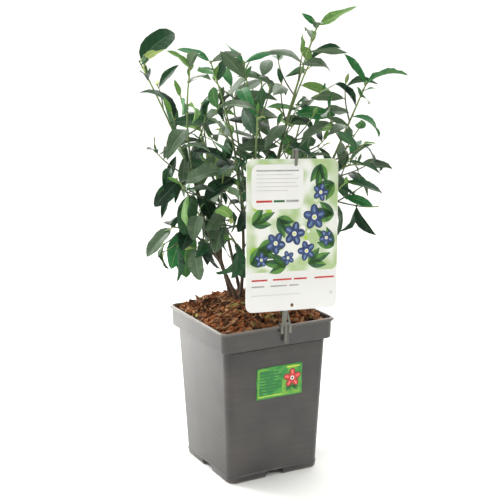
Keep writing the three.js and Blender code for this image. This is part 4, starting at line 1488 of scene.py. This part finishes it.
@dataclass
class Blades:
    """Leaf blades worked out together, each from its plan.

    A blade is two sheets that share their edges. The upper one has a narrow strip down its middle for the
    midrib, and so has the lower one, where the midrib stands out.
    """

    stations: tuple[float, ...] = (0.0, 0.05, 0.13, 0.25, 0.39, 0.54, 0.69, 0.83, 0.94)
    upper_columns: tuple[float, ...] = (-1.0, -0.55, -0.05, 0.05, 0.55, 1.0)
    lower_columns: tuple[float, ...] = (-1.0, -0.09, 0.09, 1.0)
    stalk: float = 0.05  # share of the length that is stalk
    stalk_half: float = 0.6
    half_width: float = 0.44  # of its full width
    widest: float = 0.46  # share of the blade where it is widest
    slims: tuple[float, float] = (0.38, 0.54)  # the width of slim and of broad leaves, as Leaf.slim
    points: tuple[float, float] = (1.05, 0.72)  # how sharply each narrows to its tip
    skin: float = 0.16  # half the blade's thickness in mm
    fold: tuple[float, float] = (0.42, 0.26)  # radians, middle and spread
    twist: float = 0.45  # radians, spread
    curl: tuple[float, float] = (-0.35, 0.15)  # of the edges, as a share of half the width, least and most
    wave: tuple[float, float] = (0.06, 0.26)  # height of the waves, likewise
    waves: tuple[float, float] = (1.2, 2.2)  # their number along a blade

    def half_widths(self, width: Array, slim: Array, share: Array) -> Array:
        """Half the blade's width for each leaf and station.

        It is the stalk's, narrowing to nothing at the tip, plus q^a (1-q)^b scaled to its widest, where q
        runs from 0 at the end of the stalk to 1 at the tip. A small b gives broad leaves a round tip, a
        large one gives slim leaves a sharp tip.

        Args:
            width: each leaf's full width.
            slim: the same as a share of its length.
            share: each station's share of the length.

        Returns:
            The half widths by leaf and station.
        """
        q = come_from(self.stalk, 1, share)[None]
        point = np.interp(slim, self.slims, self.points)[:, None]
        rise = point * self.widest / (1 - self.widest)
        shape = q**rise * (1 - q) ** point / (self.widest**rise * (1 - self.widest) ** point)
        return self.stalk_half * (1 - q) + self.half_width * width[:, None] * shape

    def template(self) -> tuple[list[Array], list[Array], int]:
        """The faces of one blade in groups, which finish each has, and the number of its points.

        Points are numbered along the upper sheet row by row, then the tip, then the lower sheet without the
        edges that it shares. Finish 0 is the upper side, 1 the midrib and 2 the underside.
        """
        rows, upper_count, lower_count = len(self.stations), len(self.upper_columns), len(self.lower_columns)
        tip = rows * upper_count
        upper = np.arange(tip).reshape(rows, upper_count)
        inner = tip + 1 + np.arange(rows * (lower_count - 2)).reshape(rows, lower_count - 2)
        lower = np.column_stack([upper[:, 0], inner, upper[:, -1]])
        quads, triangles, quad_finish, triangle_finish = [], [], [], []
        for grid, plain, flip in ((upper, 0, 1), (lower, 2, -1)):
            corners = np.stack([grid[:-1, :-1], grid[:-1, 1:], grid[1:, 1:], grid[1:, :-1]], axis=-1)
            ends = np.column_stack([grid[-1, :-1], grid[-1, 1:], np.full(grid.shape[1] - 1, tip)])
            strip = np.full(grid.shape[1] - 1, plain)
            strip[len(strip) // 2] = 1
            quads.append(corners.reshape(-1, 4)[:, ::flip])
            triangles.append(ends[:, ::flip])
            quad_finish.append(np.tile(strip, rows - 1))
            triangle_finish.append(strip)
        foot = np.concatenate([lower[0, :-1], upper[0, :0:-1]])[None]
        groups = [np.concatenate(quads), np.concatenate(triangles), foot]
        finish = [np.concatenate(quad_finish), np.concatenate(triangle_finish), np.array([2])]
        return groups, finish, tip + 1 + inner.size

    def surface(self, leaves: Sequence[Leaf], tone: Array, rng: Generator) -> Surface:
        """All the blades of some leaves.

        A blade follows its leaf's arc. Its halves fold up from the midrib by an angle and curl along their
        edges, the edges wave up and down along it, and it twists towards its tip.

        Args:
            leaves: their plans.
            tone: the number of each leaf's tone.
            rng: settles each blade's fold, curl, waves and twist.

        Returns:
            The closed blades, three finish numbers to a tone.
        """
        n = len(leaves)
        root, run, side, up = gathered(leaves, "root", "run", "side", "up")
        length, arch, slim = (value[:, None] for value in gathered(leaves, "length", "arch", "slim"))
        s = np.array(self.stations)[None]
        bend = arch * s
        forward, down = np.sin(bend) / arch * length, (np.cos(bend) - 1) / arch * length
        midrib = root[:, None] + run[:, None] * forward[..., None] + up[:, None] * down[..., None]
        normal = up[:, None] * np.cos(bend)[..., None] + run[:, None] * np.sin(bend)[..., None]
        twist = (rng.normal(0, self.twist, (n, 1)) * s)[..., None]
        beside = side[:, None] * np.cos(twist) + normal * np.sin(twist)
        normal = normal * np.cos(twist) - side[:, None] * np.sin(twist)
        half = self.half_widths((length * slim)[:, 0], slim[:, 0], s[0])[..., None]
        fold = np.clip(rng.normal(*self.fold, n), -0.2, 1.0)[:, None, None]
        curl, wave, waves = (
            rng.uniform(*ends, n)[:, None, None] for ends in (self.curl, self.wave, self.waves)
        )
        phase = rng.uniform(0, 2 * np.pi, (n, 1, 2))

        def sheet(columns: Sequence[float]) -> Array:
            """The points of one sheet.

            Args:
                columns: places across it, from -1 at its left edge to 1 at its right.

            Returns:
                The points by leaf, station and column.
            """
            u = np.array(columns)
            side_phase = np.where(u > 0, phase[..., :1], phase[..., 1:])
            ripple = np.sin(2 * np.pi * waves * s[..., None] + side_phase)
            reach = (half * u * np.cos(fold))[..., None]
            lift = (half * (np.abs(u) * np.sin(fold) + curl * u**2 + wave * u**2 * ripple))[..., None]
            return midrib[:, :, None] + beside[:, :, None] * reach + normal[:, :, None] * lift

        # A blade is thick at its stalk and thins out exponentially, and its edges are sharp.
        thick = (self.skin + 0.35 * np.exp(-s / 0.06))[..., None, None] * normal[:, :, None]
        upper_u, lower_u = np.array(self.upper_columns), np.array(self.lower_columns)[1:-1]
        upper = sheet(upper_u) + thick * (1 - upper_u**2)[:, None]
        lower = sheet(lower_u) - 1.8 * thick
        end = root + run * np.sin(arch) / arch * length + up * (np.cos(arch) - 1) / arch * length
        points = np.concatenate([upper.reshape(n, -1, 3), end[:, None], lower.reshape(n, -1, 3)], axis=1)
        maps = [pattern_map(0.5 + u / 2, s[0][:, None]).reshape(-1, 2) for u in (upper_u, lower_u)]
        uv = np.concatenate([maps[0], [[0.5, 1.0]], maps[1]])
        groups, finish, size = self.template()
        faces = copied_faces(groups, n, size)
        numbers = [(3 * tone[:, None] + one[None]).ravel() for one in finish]
        return Surface(points.reshape(-1, 3), faces, np.tile(uv, (n, 1)), np.concatenate(numbers))


# The leaf at some canes' tips is broader than the rest, and a young one stands beside it.
TIP_WIDENING = {"west_tall": 1.4}
YOUNG_TIPS = {"west_tall": (-52.0, 34.0, 36.0, 45.0, 72.0)}
TIP_TONES = {
    "west_tall": (LeafTone.DEEP, LeafTone.PALE),
    "leader": (LeafTone.LIME, LeafTone.FRESH),
    "east_tall": (LeafTone.FRESH, LeafTone.FRESH),
    "west_front": (LeafTone.DULL, LeafTone.LIME),
}


@dataclass
class Bush:
    """The canes, shoots, buds and leaves, one set of pieces for each cane."""

    growth: Growth
    blades: Blades = field(default_factory=Blades)
    cane_skin: Skin = Skin(12, 2.2, 0.07)
    shoot_skin: Skin = Skin(8, 3.5, 0.03)
    sunk: float = 5.0  # mm of each cane's foot that stands in the mulch
    young_leaves: tuple[int, int] = (3, 1)  # at a cane's own tip and at a twig's
    young_length: tuple[float, float] = (10.0, 22.0)
    painted_shade_z: tuple[float, float] = (290.0, 470.0)  # heights between which the painted shade, darker leaf tones low in the bush, thins out
    painted_shade_by_height: float = 0.65  # how far a leaf's height, as painted shade, settles its tone, and not its place on the shoot
    bud_length: float = 3.0

    def young(self, limb: Limb, count: int, rng: Generator) -> list[Leaf]:
        """The small leaves that unfold round a shoot's tip, by the same turn from one to the next.

        Args:
            limb: the shoot.
            count: how many unfold.
            rng: settles how they stand.

        Returns:
            Those inside the crown.
        """
        grown = []
        for k in range(count):
            share = 0.92 + 0.08 * (k + 0.5) / count
            shoot = limb.along(share)
            outward = self.growth.outward(shoot, math.radians(self.growth.turn * k) + rng.uniform(0, 6))
            spread = rng.uniform(0.35, 0.9)
            run = unit(shoot * math.cos(spread) + outward * math.sin(spread) + UP * 0.2)
            length = rng.uniform(*self.young_length) * (1 - 0.2 * k)
            face = unit(shoot + UP * 0.3)
            leaf = Leaf.facing(limb.at(share), run, face, length, rng.uniform(0.1, 0.9), 0.36, 1.0)
            if not self.growth.crown.outside(leaf.spots()).any():
                grown.append(leaf)
        return grown

    def deal_tones(self, name: str, leaves: Sequence[Leaf], rng: Generator) -> Array:
        """The tone of each leaf: dark low on a shoot and, as painted shade, low in the bush; fresher towards
        the tips.

        Young leaves are mostly lime and pale, and the leaves at some canes' tips have tones of their own.

        Args:
            name: the cane's name.
            leaves: the leaves on it, those at its tip first.
            rng: deals the tones.

        Returns:
            The number of each leaf's tone.
        """
        low, high, young = (np.array([tone.value.shares[i] for tone in LeafTone], float) for i in range(3))
        dealt = []
        for leaf in leaves:
            # Lower in the bush a leaf gets darker tones: painted shade.
            height = come_from(*self.painted_shade_z, leaf.root[2])
            share = (1 - self.painted_shade_by_height) * leaf.share + self.painted_shade_by_height * height
            mix = low * (1 - share) + high * share
            if leaf.length < self.young_length[1]:
                mix = young
            dealt.append(rng.choice(len(mix), p=mix / mix.sum()))
        tips = [list(LeafTone).index(tone) for tone in TIP_TONES.get(name, ())]
        return np.array(tips + dealt[len(tips) :])

    def buds(self, leaves: Sequence[Leaf], rng: Generator) -> Surface:
        """A bud in the axil of each leaf, of rings along its axis whose radius is half a sine.

        Args:
            leaves: the leaves' plans.
            rng: settles the buds' sizes.

        Returns:
            The closed buds.
        """
        n = len(leaves)
        root, run, up = gathered(leaves, "root", "run", "up")
        axis = unit(run * 0.6 + up)
        side = unit(np.cross(run, axis))
        third = np.cross(axis, side)
        length = self.bud_length * rng.uniform(0.7, 1.2, n)[:, None, None, None]
        s = np.array([0.02, 0.3, 0.6, 0.98])
        angle = 2 * np.pi * np.arange(5) / 5
        radius = (0.3 * np.sin(np.pi * s**0.8))[None, :, None, None] * length
        ring = np.cos(angle)[None, :, None] * side[:, None] + np.sin(angle)[None, :, None] * third[:, None]
        centre = root[:, None, None] + axis[:, None, None] * (0.4 + s[None, :, None, None] * length)
        points = centre + radius * ring[:, None]
        uv = pattern_map(angle[None] / (2 * np.pi), s[:, None]).reshape(-1, 2)
        return Surface(points.reshape(-1, 3), copied_faces(loft_faces(4, 5), n, 20), np.tile(uv, (n, 1)))

    def build(self) -> None:
        """Builds every cane's bark, shoots, buds and leaves, in place of its two solids."""
        skins = [skin.material() for tone in LeafTone for skin in tone.value.skins()]
        old, green, scales = OLD_BARK.material(), GREEN_BARK.material(), BUD_SCALE.material()
        for i, mass in enumerate(self.growth.grow()):
            name, limb, bare = mass.row.name, mass.limb, mass.row.bare
            rng = default_rng(40 + i)
            foot = 0.0 if mass.row.parent else -self.sunk / limb.length
            bark = limb_surface(limb, foot, bare, self.cane_skin, i)
            build_piece("bark_" + name, bark, [old], "cane_" + name)
            shoots = [limb_surface(limb, bare, 1, self.shoot_skin, i)]
            shoots += [limb_surface(twig, 0, 1, self.shoot_skin, i + k) for k, twig in enumerate(mass.twigs)]
            build_piece("shoots_" + name, joined(shoots), [green], "foliage_" + name)
            leaves = list(mass.leaves)
            leaves[0] = replace(leaves[0], slim=leaves[0].slim * TIP_WIDENING.get(name, 1.0))
            if name in YOUNG_TIPS:
                leaves.insert(len(mass.row.crown), self.growth.tip_leaf(limb, YOUNG_TIPS[name], 0.4))
            leaves += self.young(limb, self.young_leaves[0], rng)
            for twig in mass.twigs:
                leaves += self.young(twig, self.young_leaves[1], rng)
            build_piece("buds_" + name, self.buds(leaves, rng), [scales])
            tone = self.deal_tones(name, leaves, rng)
            blades = self.blades.surface(leaves, tone, rng)
            build_piece("leaves_" + name, blades, skins, sharp=100)


# ---------------- label, stake and sticker


class Ink(Enum):
    """The printed colours: name, colour, second colour and the millimetres between their patches."""

    WHITE = ("ink_white", "#f1f1ee", "#ececea", 40)
    GARDEN = ("ink_garden_green", "#eff1eb", "#b3cb93", 26)
    MIST = ("ink_mist_green", "#dfe8cf", "#c3d8a4", 12)
    LEAF = ("ink_leaf_green", "#5b8f3a", "#3c7436", 9)
    SHADE = ("ink_shade_green", "#2f5f35", "#25502f", 9)
    LIME = ("ink_lime", "#b5d24a", "#94c03c", 14)
    BERRY = ("ink_berry_blue", "#3b5382", "#2b3f6d", 7)
    BLOOM = ("ink_bloom_blue", "#7f95bd", "#5f78a8", 5)
    NIGHT = ("ink_night_blue", "#1f2c4f", "#18233f", 6)
    GREY = ("ink_grey", "#9a9b99", "#a8a9a6", 20)
    PALE = ("ink_pale_grey", "#cfd0cd", "#d8d9d6", 20)
    RED = ("ink_red", "#c9392f", "#b92f2a", 12)
    GRASS = ("ink_grass_green", "#1a7d32", "#439a39", 9)
    MEADOW = ("ink_meadow_green", "#1d8433", "#6da830", 12)
    CORAL = ("ink_coral", "#ef7a6a", "#e8685a", 9)
    DUSK = ("ink_dusk", "#35211f", "#2c1b1a", 9)
    PINE = ("ink_pine_green", "#1d6a2c", "#1a5f2a", 9)
    YELLOW = ("ink_yellow", "#d8e04a", "#c3d63f", 9)

    def film(self) -> PrintedFilm:
        """The ink as a finish."""
        return PrintedFilm(*self.value)


@dataclass
class Print:
    """Flat printed shapes that lie on a face, each a very low prism on its own layer.

    A shape is drawn in the face's own X and Z, seen from -Y.
    """

    name: str
    place: Placement
    slot: str
    face_y: float
    layer: float = 0.05
    shapes: list[tuple[Array, Ink, int]] = field(default_factory=list)

    def add(self, outline: Array, ink: Ink, level: int) -> None:
        """Adds a convex outline, drawn anticlockwise, in an ink on a layer."""
        self.shapes.append((outline, ink, level))

    def bar(self, x: float, z: float, width: float, height: float, ink: Ink, level: int) -> None:
        """A bar with its left end at x and its middle at z."""
        low, high = z - height / 2, z + height / 2
        self.add(np.array([[x, low], [x + width, low], [x + width, high], [x, high]]), ink, level)

    def panel(
        self, x: float, z: float, width: float, height: float, corner: float, ink: Ink, level: int
    ) -> None:
        """A rectangle with rounded corners round a middle."""
        self.add(rounded_rectangle(width, height, corner, 6) + np.array([x, z]), ink, level)

    def disc(self, x: float, z: float, radius: float, ink: Ink, level: int, sides: int = 28) -> None:
        """A round spot."""
        self.add(oval(radius, radius, sides) + np.array([x, z]), ink, level)

    def lens(
        self, x: float, z: float, length: float, width: float, lean: float, inks: tuple[Ink, Ink], level: int
    ) -> None:
        """A leaf of two halves, each bounded by its midrib and half a sine.

        Args:
            x: its foot's place to the side.
            z: its foot's height.
            length: from its foot to its tip.
            width: across both halves.
            lean: the angle in degrees at which it stands, 0 to the right.
            inks: the ink of its lower and of its upper half.
            level: its layer.
        """
        share = np.linspace(0, 1, 12)
        swell = width / 2 * np.sin(np.pi * share**0.85)
        for sign, ink in zip((-1, 1), inks):
            edge = np.column_stack([share * length, sign * swell])
            self.add(turned(edge if sign < 0 else edge[::-1], lean) + np.array([x, z]), ink, level)

    def blossom(
        self, x: float, z: float, radius: float, lean: float, inks: tuple[Ink, Ink, Ink, Ink], level: int
    ) -> None:
        """Five round petals round an eye.

        Args:
            x: its middle's place to the side.
            z: its middle's height.
            radius: from its middle to a petal's end.
            lean: the angle in degrees of its first petal.
            inks: the ink of each petal's rim, of its middle, of its streak and of the eye.
            level: its lowest layer, of five.
        """
        rim, petal, streak, eye = inks
        for k in range(5):
            angle = lean + 72 * k
            for away, long, wide, ink, lift in (
                (0.56, 0.5, 0.36, rim, 0),
                (0.58, 0.42, 0.3, petal, 1),
                (0.66, 0.24, 0.1, streak, 2),
            ):
                shape = oval(long * radius, wide * radius, 20) + np.array([away * radius, 0.0])
                self.add(turned(shape, angle) + np.array([x, z]), ink, level + lift)
        self.disc(x, z, 0.22 * radius, Ink.WHITE, level + 3, 16)
        self.disc(x, z, 0.12 * radius, eye, level + 4, 12)

    def build(self) -> None:
        """Builds one piece for each ink."""
        for ink in Ink:
            prisms = [
                prism(outline, self.face_y, self.face_y - self.layer * (level + 1))
                for outline, own_ink, level in self.shapes
                if own_ink is ink
            ]
            if prisms:
                surface = joined(prisms)
                surface.points = self.place.put(surface.points)
                material = ink.film().material()
                build_piece(f"{self.name}_{ink.value[0]}", surface, [material], sharp=30)


@dataclass
class Label:
    """The picture card and the stake that clips it to the pot's lip."""

    pot: Pot
    width: float = 118.0
    height: float = 170.5
    thick: float = 0.8
    corner: float = 8.0
    top_z: float = 384.0
    aside: float = -3.0
    back: float = 6.3
    hole_radius: float = 2.2
    hole_up: float = 5.6
    picture: float = 126.0  # height of the part of the card that is printed all over
    stake_x: float = 3.2
    stake_lean: float = 4.0
    stake_thick: float = 2.4
    stake_top: float = 394.5
    hook: float = 18.0
    clip_x: float = 6.0
    clip_thick: float = 1.6
    tongue_drop: float = 20.0
    tongue_half: float = 2.1
    legs_top: float = 214.0

    @property
    def stake(self) -> Placement:
        """The stem's frame: just outside the pot's lip, leaning a little to the right."""
        y = -self.pot.lip_half - self.clip_thick / 2 - GAP
        return Placement(turn("Y", self.stake_lean), np.array([self.stake_x, y, self.pot.height]))

    @property
    def card(self) -> Placement:
        """The card's frame: the middle of its top edge, against the stem, with its foot swung forward."""
        front = -self.stake_thick / 2 - GAP - self.thick / 2
        hang = np.array([self.aside, front, self.top_z - self.pot.height])
        return Placement(turn("X", -self.back) @ turn("Y", self.stake_lean), self.stake.put(hang))

    def crown(self) -> Crown:
        """The crown's space round this label."""
        foot = (self.clip_x + 6, -self.pot.lip_half - self.clip_thick)
        return Crown(self.card, self.width / 2, self.height, foot, self.stake_top, self.hook)

    def card_surface(self) -> Surface:
        """The card: rings that run from the punched hole out to the edge, round it and back.

        The hole's ring has a point in the direction of each point of the outline.
        """
        outline = evenly_spaced(rounded_rectangle(self.width, self.height, self.corner, 10), 1.5)
        outline -= np.array([0, self.height / 2])
        hole = np.array([0.0, -self.height + self.hole_up])
        inner = hole + self.hole_radius * unit(outline - hole)
        front, back = -self.thick / 2, self.thick / 2
        rings = [(inner, back), (inner, front), (outline, front), (outline, back)]
        grid = np.stack([stood(ring, y) for ring, y in rings])
        faces = grid_faces(len(rings) + 1, len(outline)) % (len(rings) * len(outline))
        return Surface(self.card.put(grid.reshape(-1, 3)), [faces])

    def card_print(self) -> Print:
        """A generic garden design: blue blossoms and leaf sprays on soft greens, a panel and plain bars."""
        art = Print("card_print", self.card, "card", -self.thick / 2)
        foot = -self.picture
        art.panel(0, foot / 2 - 0.2, self.width - 1.0, -foot, self.corner - 0.5, Ink.GARDEN, 0)
        rng = default_rng(11)
        for k in range(26):
            x, z = rng.uniform(-52, 52), rng.uniform(foot + 6, -8)
            art.disc(x, z, rng.uniform(1.8, 6.0), (Ink.WHITE, Ink.LIME, Ink.MIST)[k % 3], 1, 20)
        sprays = (
            (-52, -72, 24), (-44, -100, 0), (-54, -116, 30), (-8, -120, 170), (54, -28, 212), (54, -64, 168),
            (36, -6, 262), (20, -118, 20), (54, -100, 140), (-20, -66, 320),
        )
        for x, z, lean in sprays:
            for fan, length in ((-26, 25), (0, 32), (28, 23)):
                art.lens(x, z, length, 10, lean + fan, (Ink.SHADE, Ink.LEAF), 2)
        blue = (Ink.NIGHT, Ink.BERRY, Ink.BLOOM, Ink.YELLOW)
        blossoms = (
            (36, -38, 10, 0), (28, -66, 14, 20), (44, -90, 9, 50), (2, -84, 13, 5),
            (18, -104, 11, 35), (-22, -94, 12, 60), (-40, -112, 8, 15), (-6, -111, 8, 40),
        )
        for x, z, radius, lean in blossoms:
            art.blossom(x, z, radius, lean, blue, 3)
        art.panel(-20, -31, 66, 50, 9, Ink.WHITE, 8)
        art.bar(-47, -13, 54, 1.5, Ink.GREY, 9)
        for line, width in enumerate((46, 54, 50, 54, 40), start=1):
            art.bar(-47, -13 - 4.4 * line, width, 1.0, Ink.PALE, 9)
        for start, width, ink in ((-47, 20, Ink.RED), (-25, 14, Ink.PINE), (-9, 16, Ink.GREY)):
            art.bar(start, -47, width, 2.4, ink, 9)
        for k, width in enumerate((20, 24, 17, 26)):
            art.bar(-52 + 27 * k, foot - 9, width, 1.9, Ink.RED, 1)
        for k, width in enumerate((16, 21, 12)):
            art.bar(-52 + 24 * k, foot - 16, width, 1.5, Ink.GREY, 1)
        art.bar(-52, foot - 26, 62, 1.2, Ink.PALE, 1)
        art.disc(51, foot - 27, 2.2, Ink.PALE, 1)
        return art

    def build(self, frame: dict) -> None:
        """Builds the card and its print, and the stake with its moulded edges softened.
        """
        card = PrintedFilm("card_white_film", "#ececea", "#e6e6e3", 60)
        build_piece("picture_card", self.card_surface(), [card.material()], "label_card", sharp=30)
        self.card_print().build()
        solid = frame["nodes"]["label_stake"].data.copy()
        merged = with_modifiers(solid, [("WELD", {"merge_threshold": 0.01 * MM}), soft_edges(0.3)])
        merged.materials.clear()
        plastic = STAKE_PLASTIC.material()
        build_piece("card_stake", merged, [plastic], "label_stake", sharp=35)
        ribs = with_modifiers(build_mesh("stake_ribs", self.ribs()), [soft_edges(0.3)])
        build_piece("stake_ribs", ribs, [plastic], sharp=35)

    def ribs(self) -> Surface:
        """The stiffening ribs on the clip: a loop round its tongue and a strip down each splayed leg."""
        front = -self.pot.lip_half - GAP - self.clip_thick
        rim, tip = self.pot.height + GAP + self.clip_thick, self.pot.height - self.tongue_drop - 0.6
        half = self.tongue_half
        runs = [((x, rim), (x, tip)) for x in (self.clip_x - half, self.clip_x + half)]
        runs.append(((self.clip_x - half - 0.4, tip), (self.clip_x + half + 0.4, tip)))
        for end in (-1, 1):
            runs.append(((self.stake_x + 1.4 + 1.3 * end, self.legs_top), (self.clip_x + 5.6 * end, rim)))
        bars = []
        for (x0, z0), (x1, z1) in runs:
            side = 0.45 * unit(np.array([z1 - z0, x0 - x1], float))
            corners = np.array([[x0, z0] - side, [x1, z1] - side, [x1, z1] + side, [x0, z0] + side])
            bars.append(prism(corners, front + 0.6, front - 0.5))
        return joined(bars)


@dataclass
class Sticker:
    """The small printed sticker low on the front wall."""

    pot: Pot
    left: float = -27.0
    right: float = 33.5
    low: float = 101.0
    high: float = 139.5
    thick: float = 0.5

    def build(self) -> None:
        """Builds the film and a generic print: dark bars and a red blossom on a meadow of greens."""
        slope = math.atan((self.pot.shoulder_half - self.pot.foot_half) / self.pot.shoulder_z)
        width, height = self.right - self.left, (self.high - self.low) / math.cos(slope)
        origin = np.array([(self.left + self.right) / 2, -self.pot.body_half(self.low), self.low])
        place = Placement(turn("X", math.degrees(slope)), origin)
        outline = rounded_rectangle(width, height, 1.2, 4) + np.array([0, height / 2])
        front = -self.thick - GAP
        film = prism(outline, -GAP + 0.25, front)
        film.points = place.put(film.points)
        build_piece("sticker_film", film, [Ink.GRASS.film().material()], "pot_sticker", sharp=30)
        art = Print("sticker_print", place, "sticker", front)
        art.panel(0, height / 2, width - 2.4, height - 2.4, 1.0, Ink.MEADOW, 0)
        art.panel(-12, height / 2, 30, height - 7, 2, Ink.GRASS, 1)
        for line, length in enumerate((25, 29, 22, 27, 24, 28, 19)):
            art.bar(-26, height - 6.5 - 3.9 * line, length, 1.5, Ink.PINE, 2)
        for lean in (200, 222, -18, -40):
            art.lens(17, 12, 11, 4.4, lean, (Ink.PINE, Ink.GRASS), 1)
        art.blossom(17, 21, 11.5, 18, (Ink.DUSK, Ink.RED, Ink.CORAL, Ink.DUSK), 2)
        art.bar(-27, 3.2, 30, 1.4, Ink.LIME, 2)
        art.bar(10, height - 3.2, 17, 1.4, Ink.YELLOW, 2)
        art.build()


# ---------------- studio


@dataclass
class Studio:
    """The pale floor, the soft lights and the camera."""

    azimuth: float = -28.0  # degrees, as are elevation, roll and dark_side
    elevation: float = 13.2
    roll: float = -0.27
    distance: float = 1461.0
    aim_z: float = 264.7
    lens: float = 88.56
    sensor: float = 36.0
    floor_half: float = 60000.0
    dark_side: float = -18.0
    dim: float = 0.45  # strength of the room's light from its dark side
    bright: float = 3.1  # and from its bright side

    def camera(self) -> None:
        """Sets up the camera, which looks at a point on the pot's axis from its place round it."""
        a, e, r = (math.radians(angle) for angle in (self.azimuth, self.elevation, self.roll))
        back = Vector((math.sin(a) * math.cos(e), -math.cos(a) * math.cos(e), math.sin(e)))
        right = Vector((math.cos(a), math.sin(a), 0.0))
        up = back.cross(right)
        right, up = right * math.cos(r) + up * math.sin(r), up * math.cos(r) - right * math.sin(r)
        data = bpy.data.cameras.new("camera")
        data.lens, data.sensor_width = self.lens, self.sensor
        data.clip_start, data.clip_end = 0.01, 200.0
        camera = new_object("camera", data)
        place = Vector((0, 0, self.aim_z * MM)) + back * (self.distance * MM)
        camera.matrix_world = Matrix.Translation(place) @ Matrix((right, up, back)).transposed().to_4x4()
        bpy.context.scene.camera = camera

    def floor(self) -> None:
        """Lays a wide pale floor."""
        half = self.floor_half
        corners = np.array([[-half, -half, 0], [half, -half, 0], [half, half, 0], [-half, half, 0]], float)
        mesh = build_mesh("studio_floor", Surface(corners, [np.array([[0, 1, 2, 3]])]))
        material, _, _ = new_material("studio_floor_matt_white", Roughness=0.9, Base_Color="#dededc")
        mesh.materials.append(material)
        new_object("studio_floor", mesh)

    @staticmethod
    def light(
        name: str, place: Vector, aim: Vector, size: float, watts: float, spread: float = 180.0
    ) -> None:
        """Hangs a soft square light.

        Args:
            name: the light's name.
            place: where it hangs, in metres.
            aim: the point that it shines at.
            size: its side in metres.
            watts: its power.
            spread: how wide it shines, in degrees.
        """
        data = bpy.data.lights.new(name, "AREA")
        data.energy, data.size, data.spread = watts, size, math.radians(spread)
        lamp = new_object(name, data)
        lamp.location = place
        lamp.rotation_euler = (aim - place).to_track_quat("-Z", "Y").to_euler()

    def world(self) -> None:
        """Makes a soft white room, dim on its dark side and bright behind the bush, as before a lit sheet.

        Its brightness climbs smoothly with the level part of the direction away from its dark side.
        """
        world = bpy.data.worlds.new("studio_room")
        world.use_nodes = True
        bpy.context.scene.world = world
        tree = world.node_tree
        angle = math.radians(self.dark_side)
        away = (-math.sin(angle), math.cos(angle), 0.0)
        direction = add_node(tree, "TexCoord").outputs["Generated"]
        along = add_node(tree, "VectorMath", {0: direction, 1: away}, operation="DOT_PRODUCT")
        bright = add_node(
            tree,
            "MapRange",
            {
                "Value": along.outputs["Value"],
                "From Min": -0.6,
                "From Max": 0.9,
                "To Min": self.dim,
                "To Max": self.bright,
            },
            interpolation_type="SMOOTHSTEP",
        )
        feed(tree, tree.nodes["Background"], {"Color": "#fffefb", "Strength": bright})

    def build(self) -> None:
        """Builds the whole studio."""
        self.camera()
        self.floor()
        self.world()
        self.light("key", Vector((-1.4, -1.2, 2.2)), Vector((0, 0, 0.3)), 0.9, 15)
        self.light("floor_glow", Vector((-0.9, 1.5, 1.3)), Vector((-0.7, 1.0, 0)), 0.8, 30, 80)
        self.light("side_panel", Vector((-0.75, 0.55, 0.35)), Vector((-0.05, 0.05, 0.1)), 0.5, 0.8)
        self.light("foot_glow", Vector((0.35, -0.75, 0.5)), Vector((0.12, -0.32, 0)), 0.3, 0.36, 45)
        bpy.context.scene.view_settings.view_transform = "Standard"


def main() -> None:
    """Builds the studio, the pot, the mulch, the label and the bush, in that order."""
    logging.basicConfig(level=logging.INFO, format="%(name)s: %(message)s")
    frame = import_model()
    Studio().build()
    pot = Pot()
    pot.build()
    mulch = Mulch(pot)
    mulch.build()
    label = Label(pot)
    label.build(frame)
    Sticker(pot).build()
    Bush(Growth(mulch.crown_z, label.crown())).build()


if __name__ == "__main__":
    main()
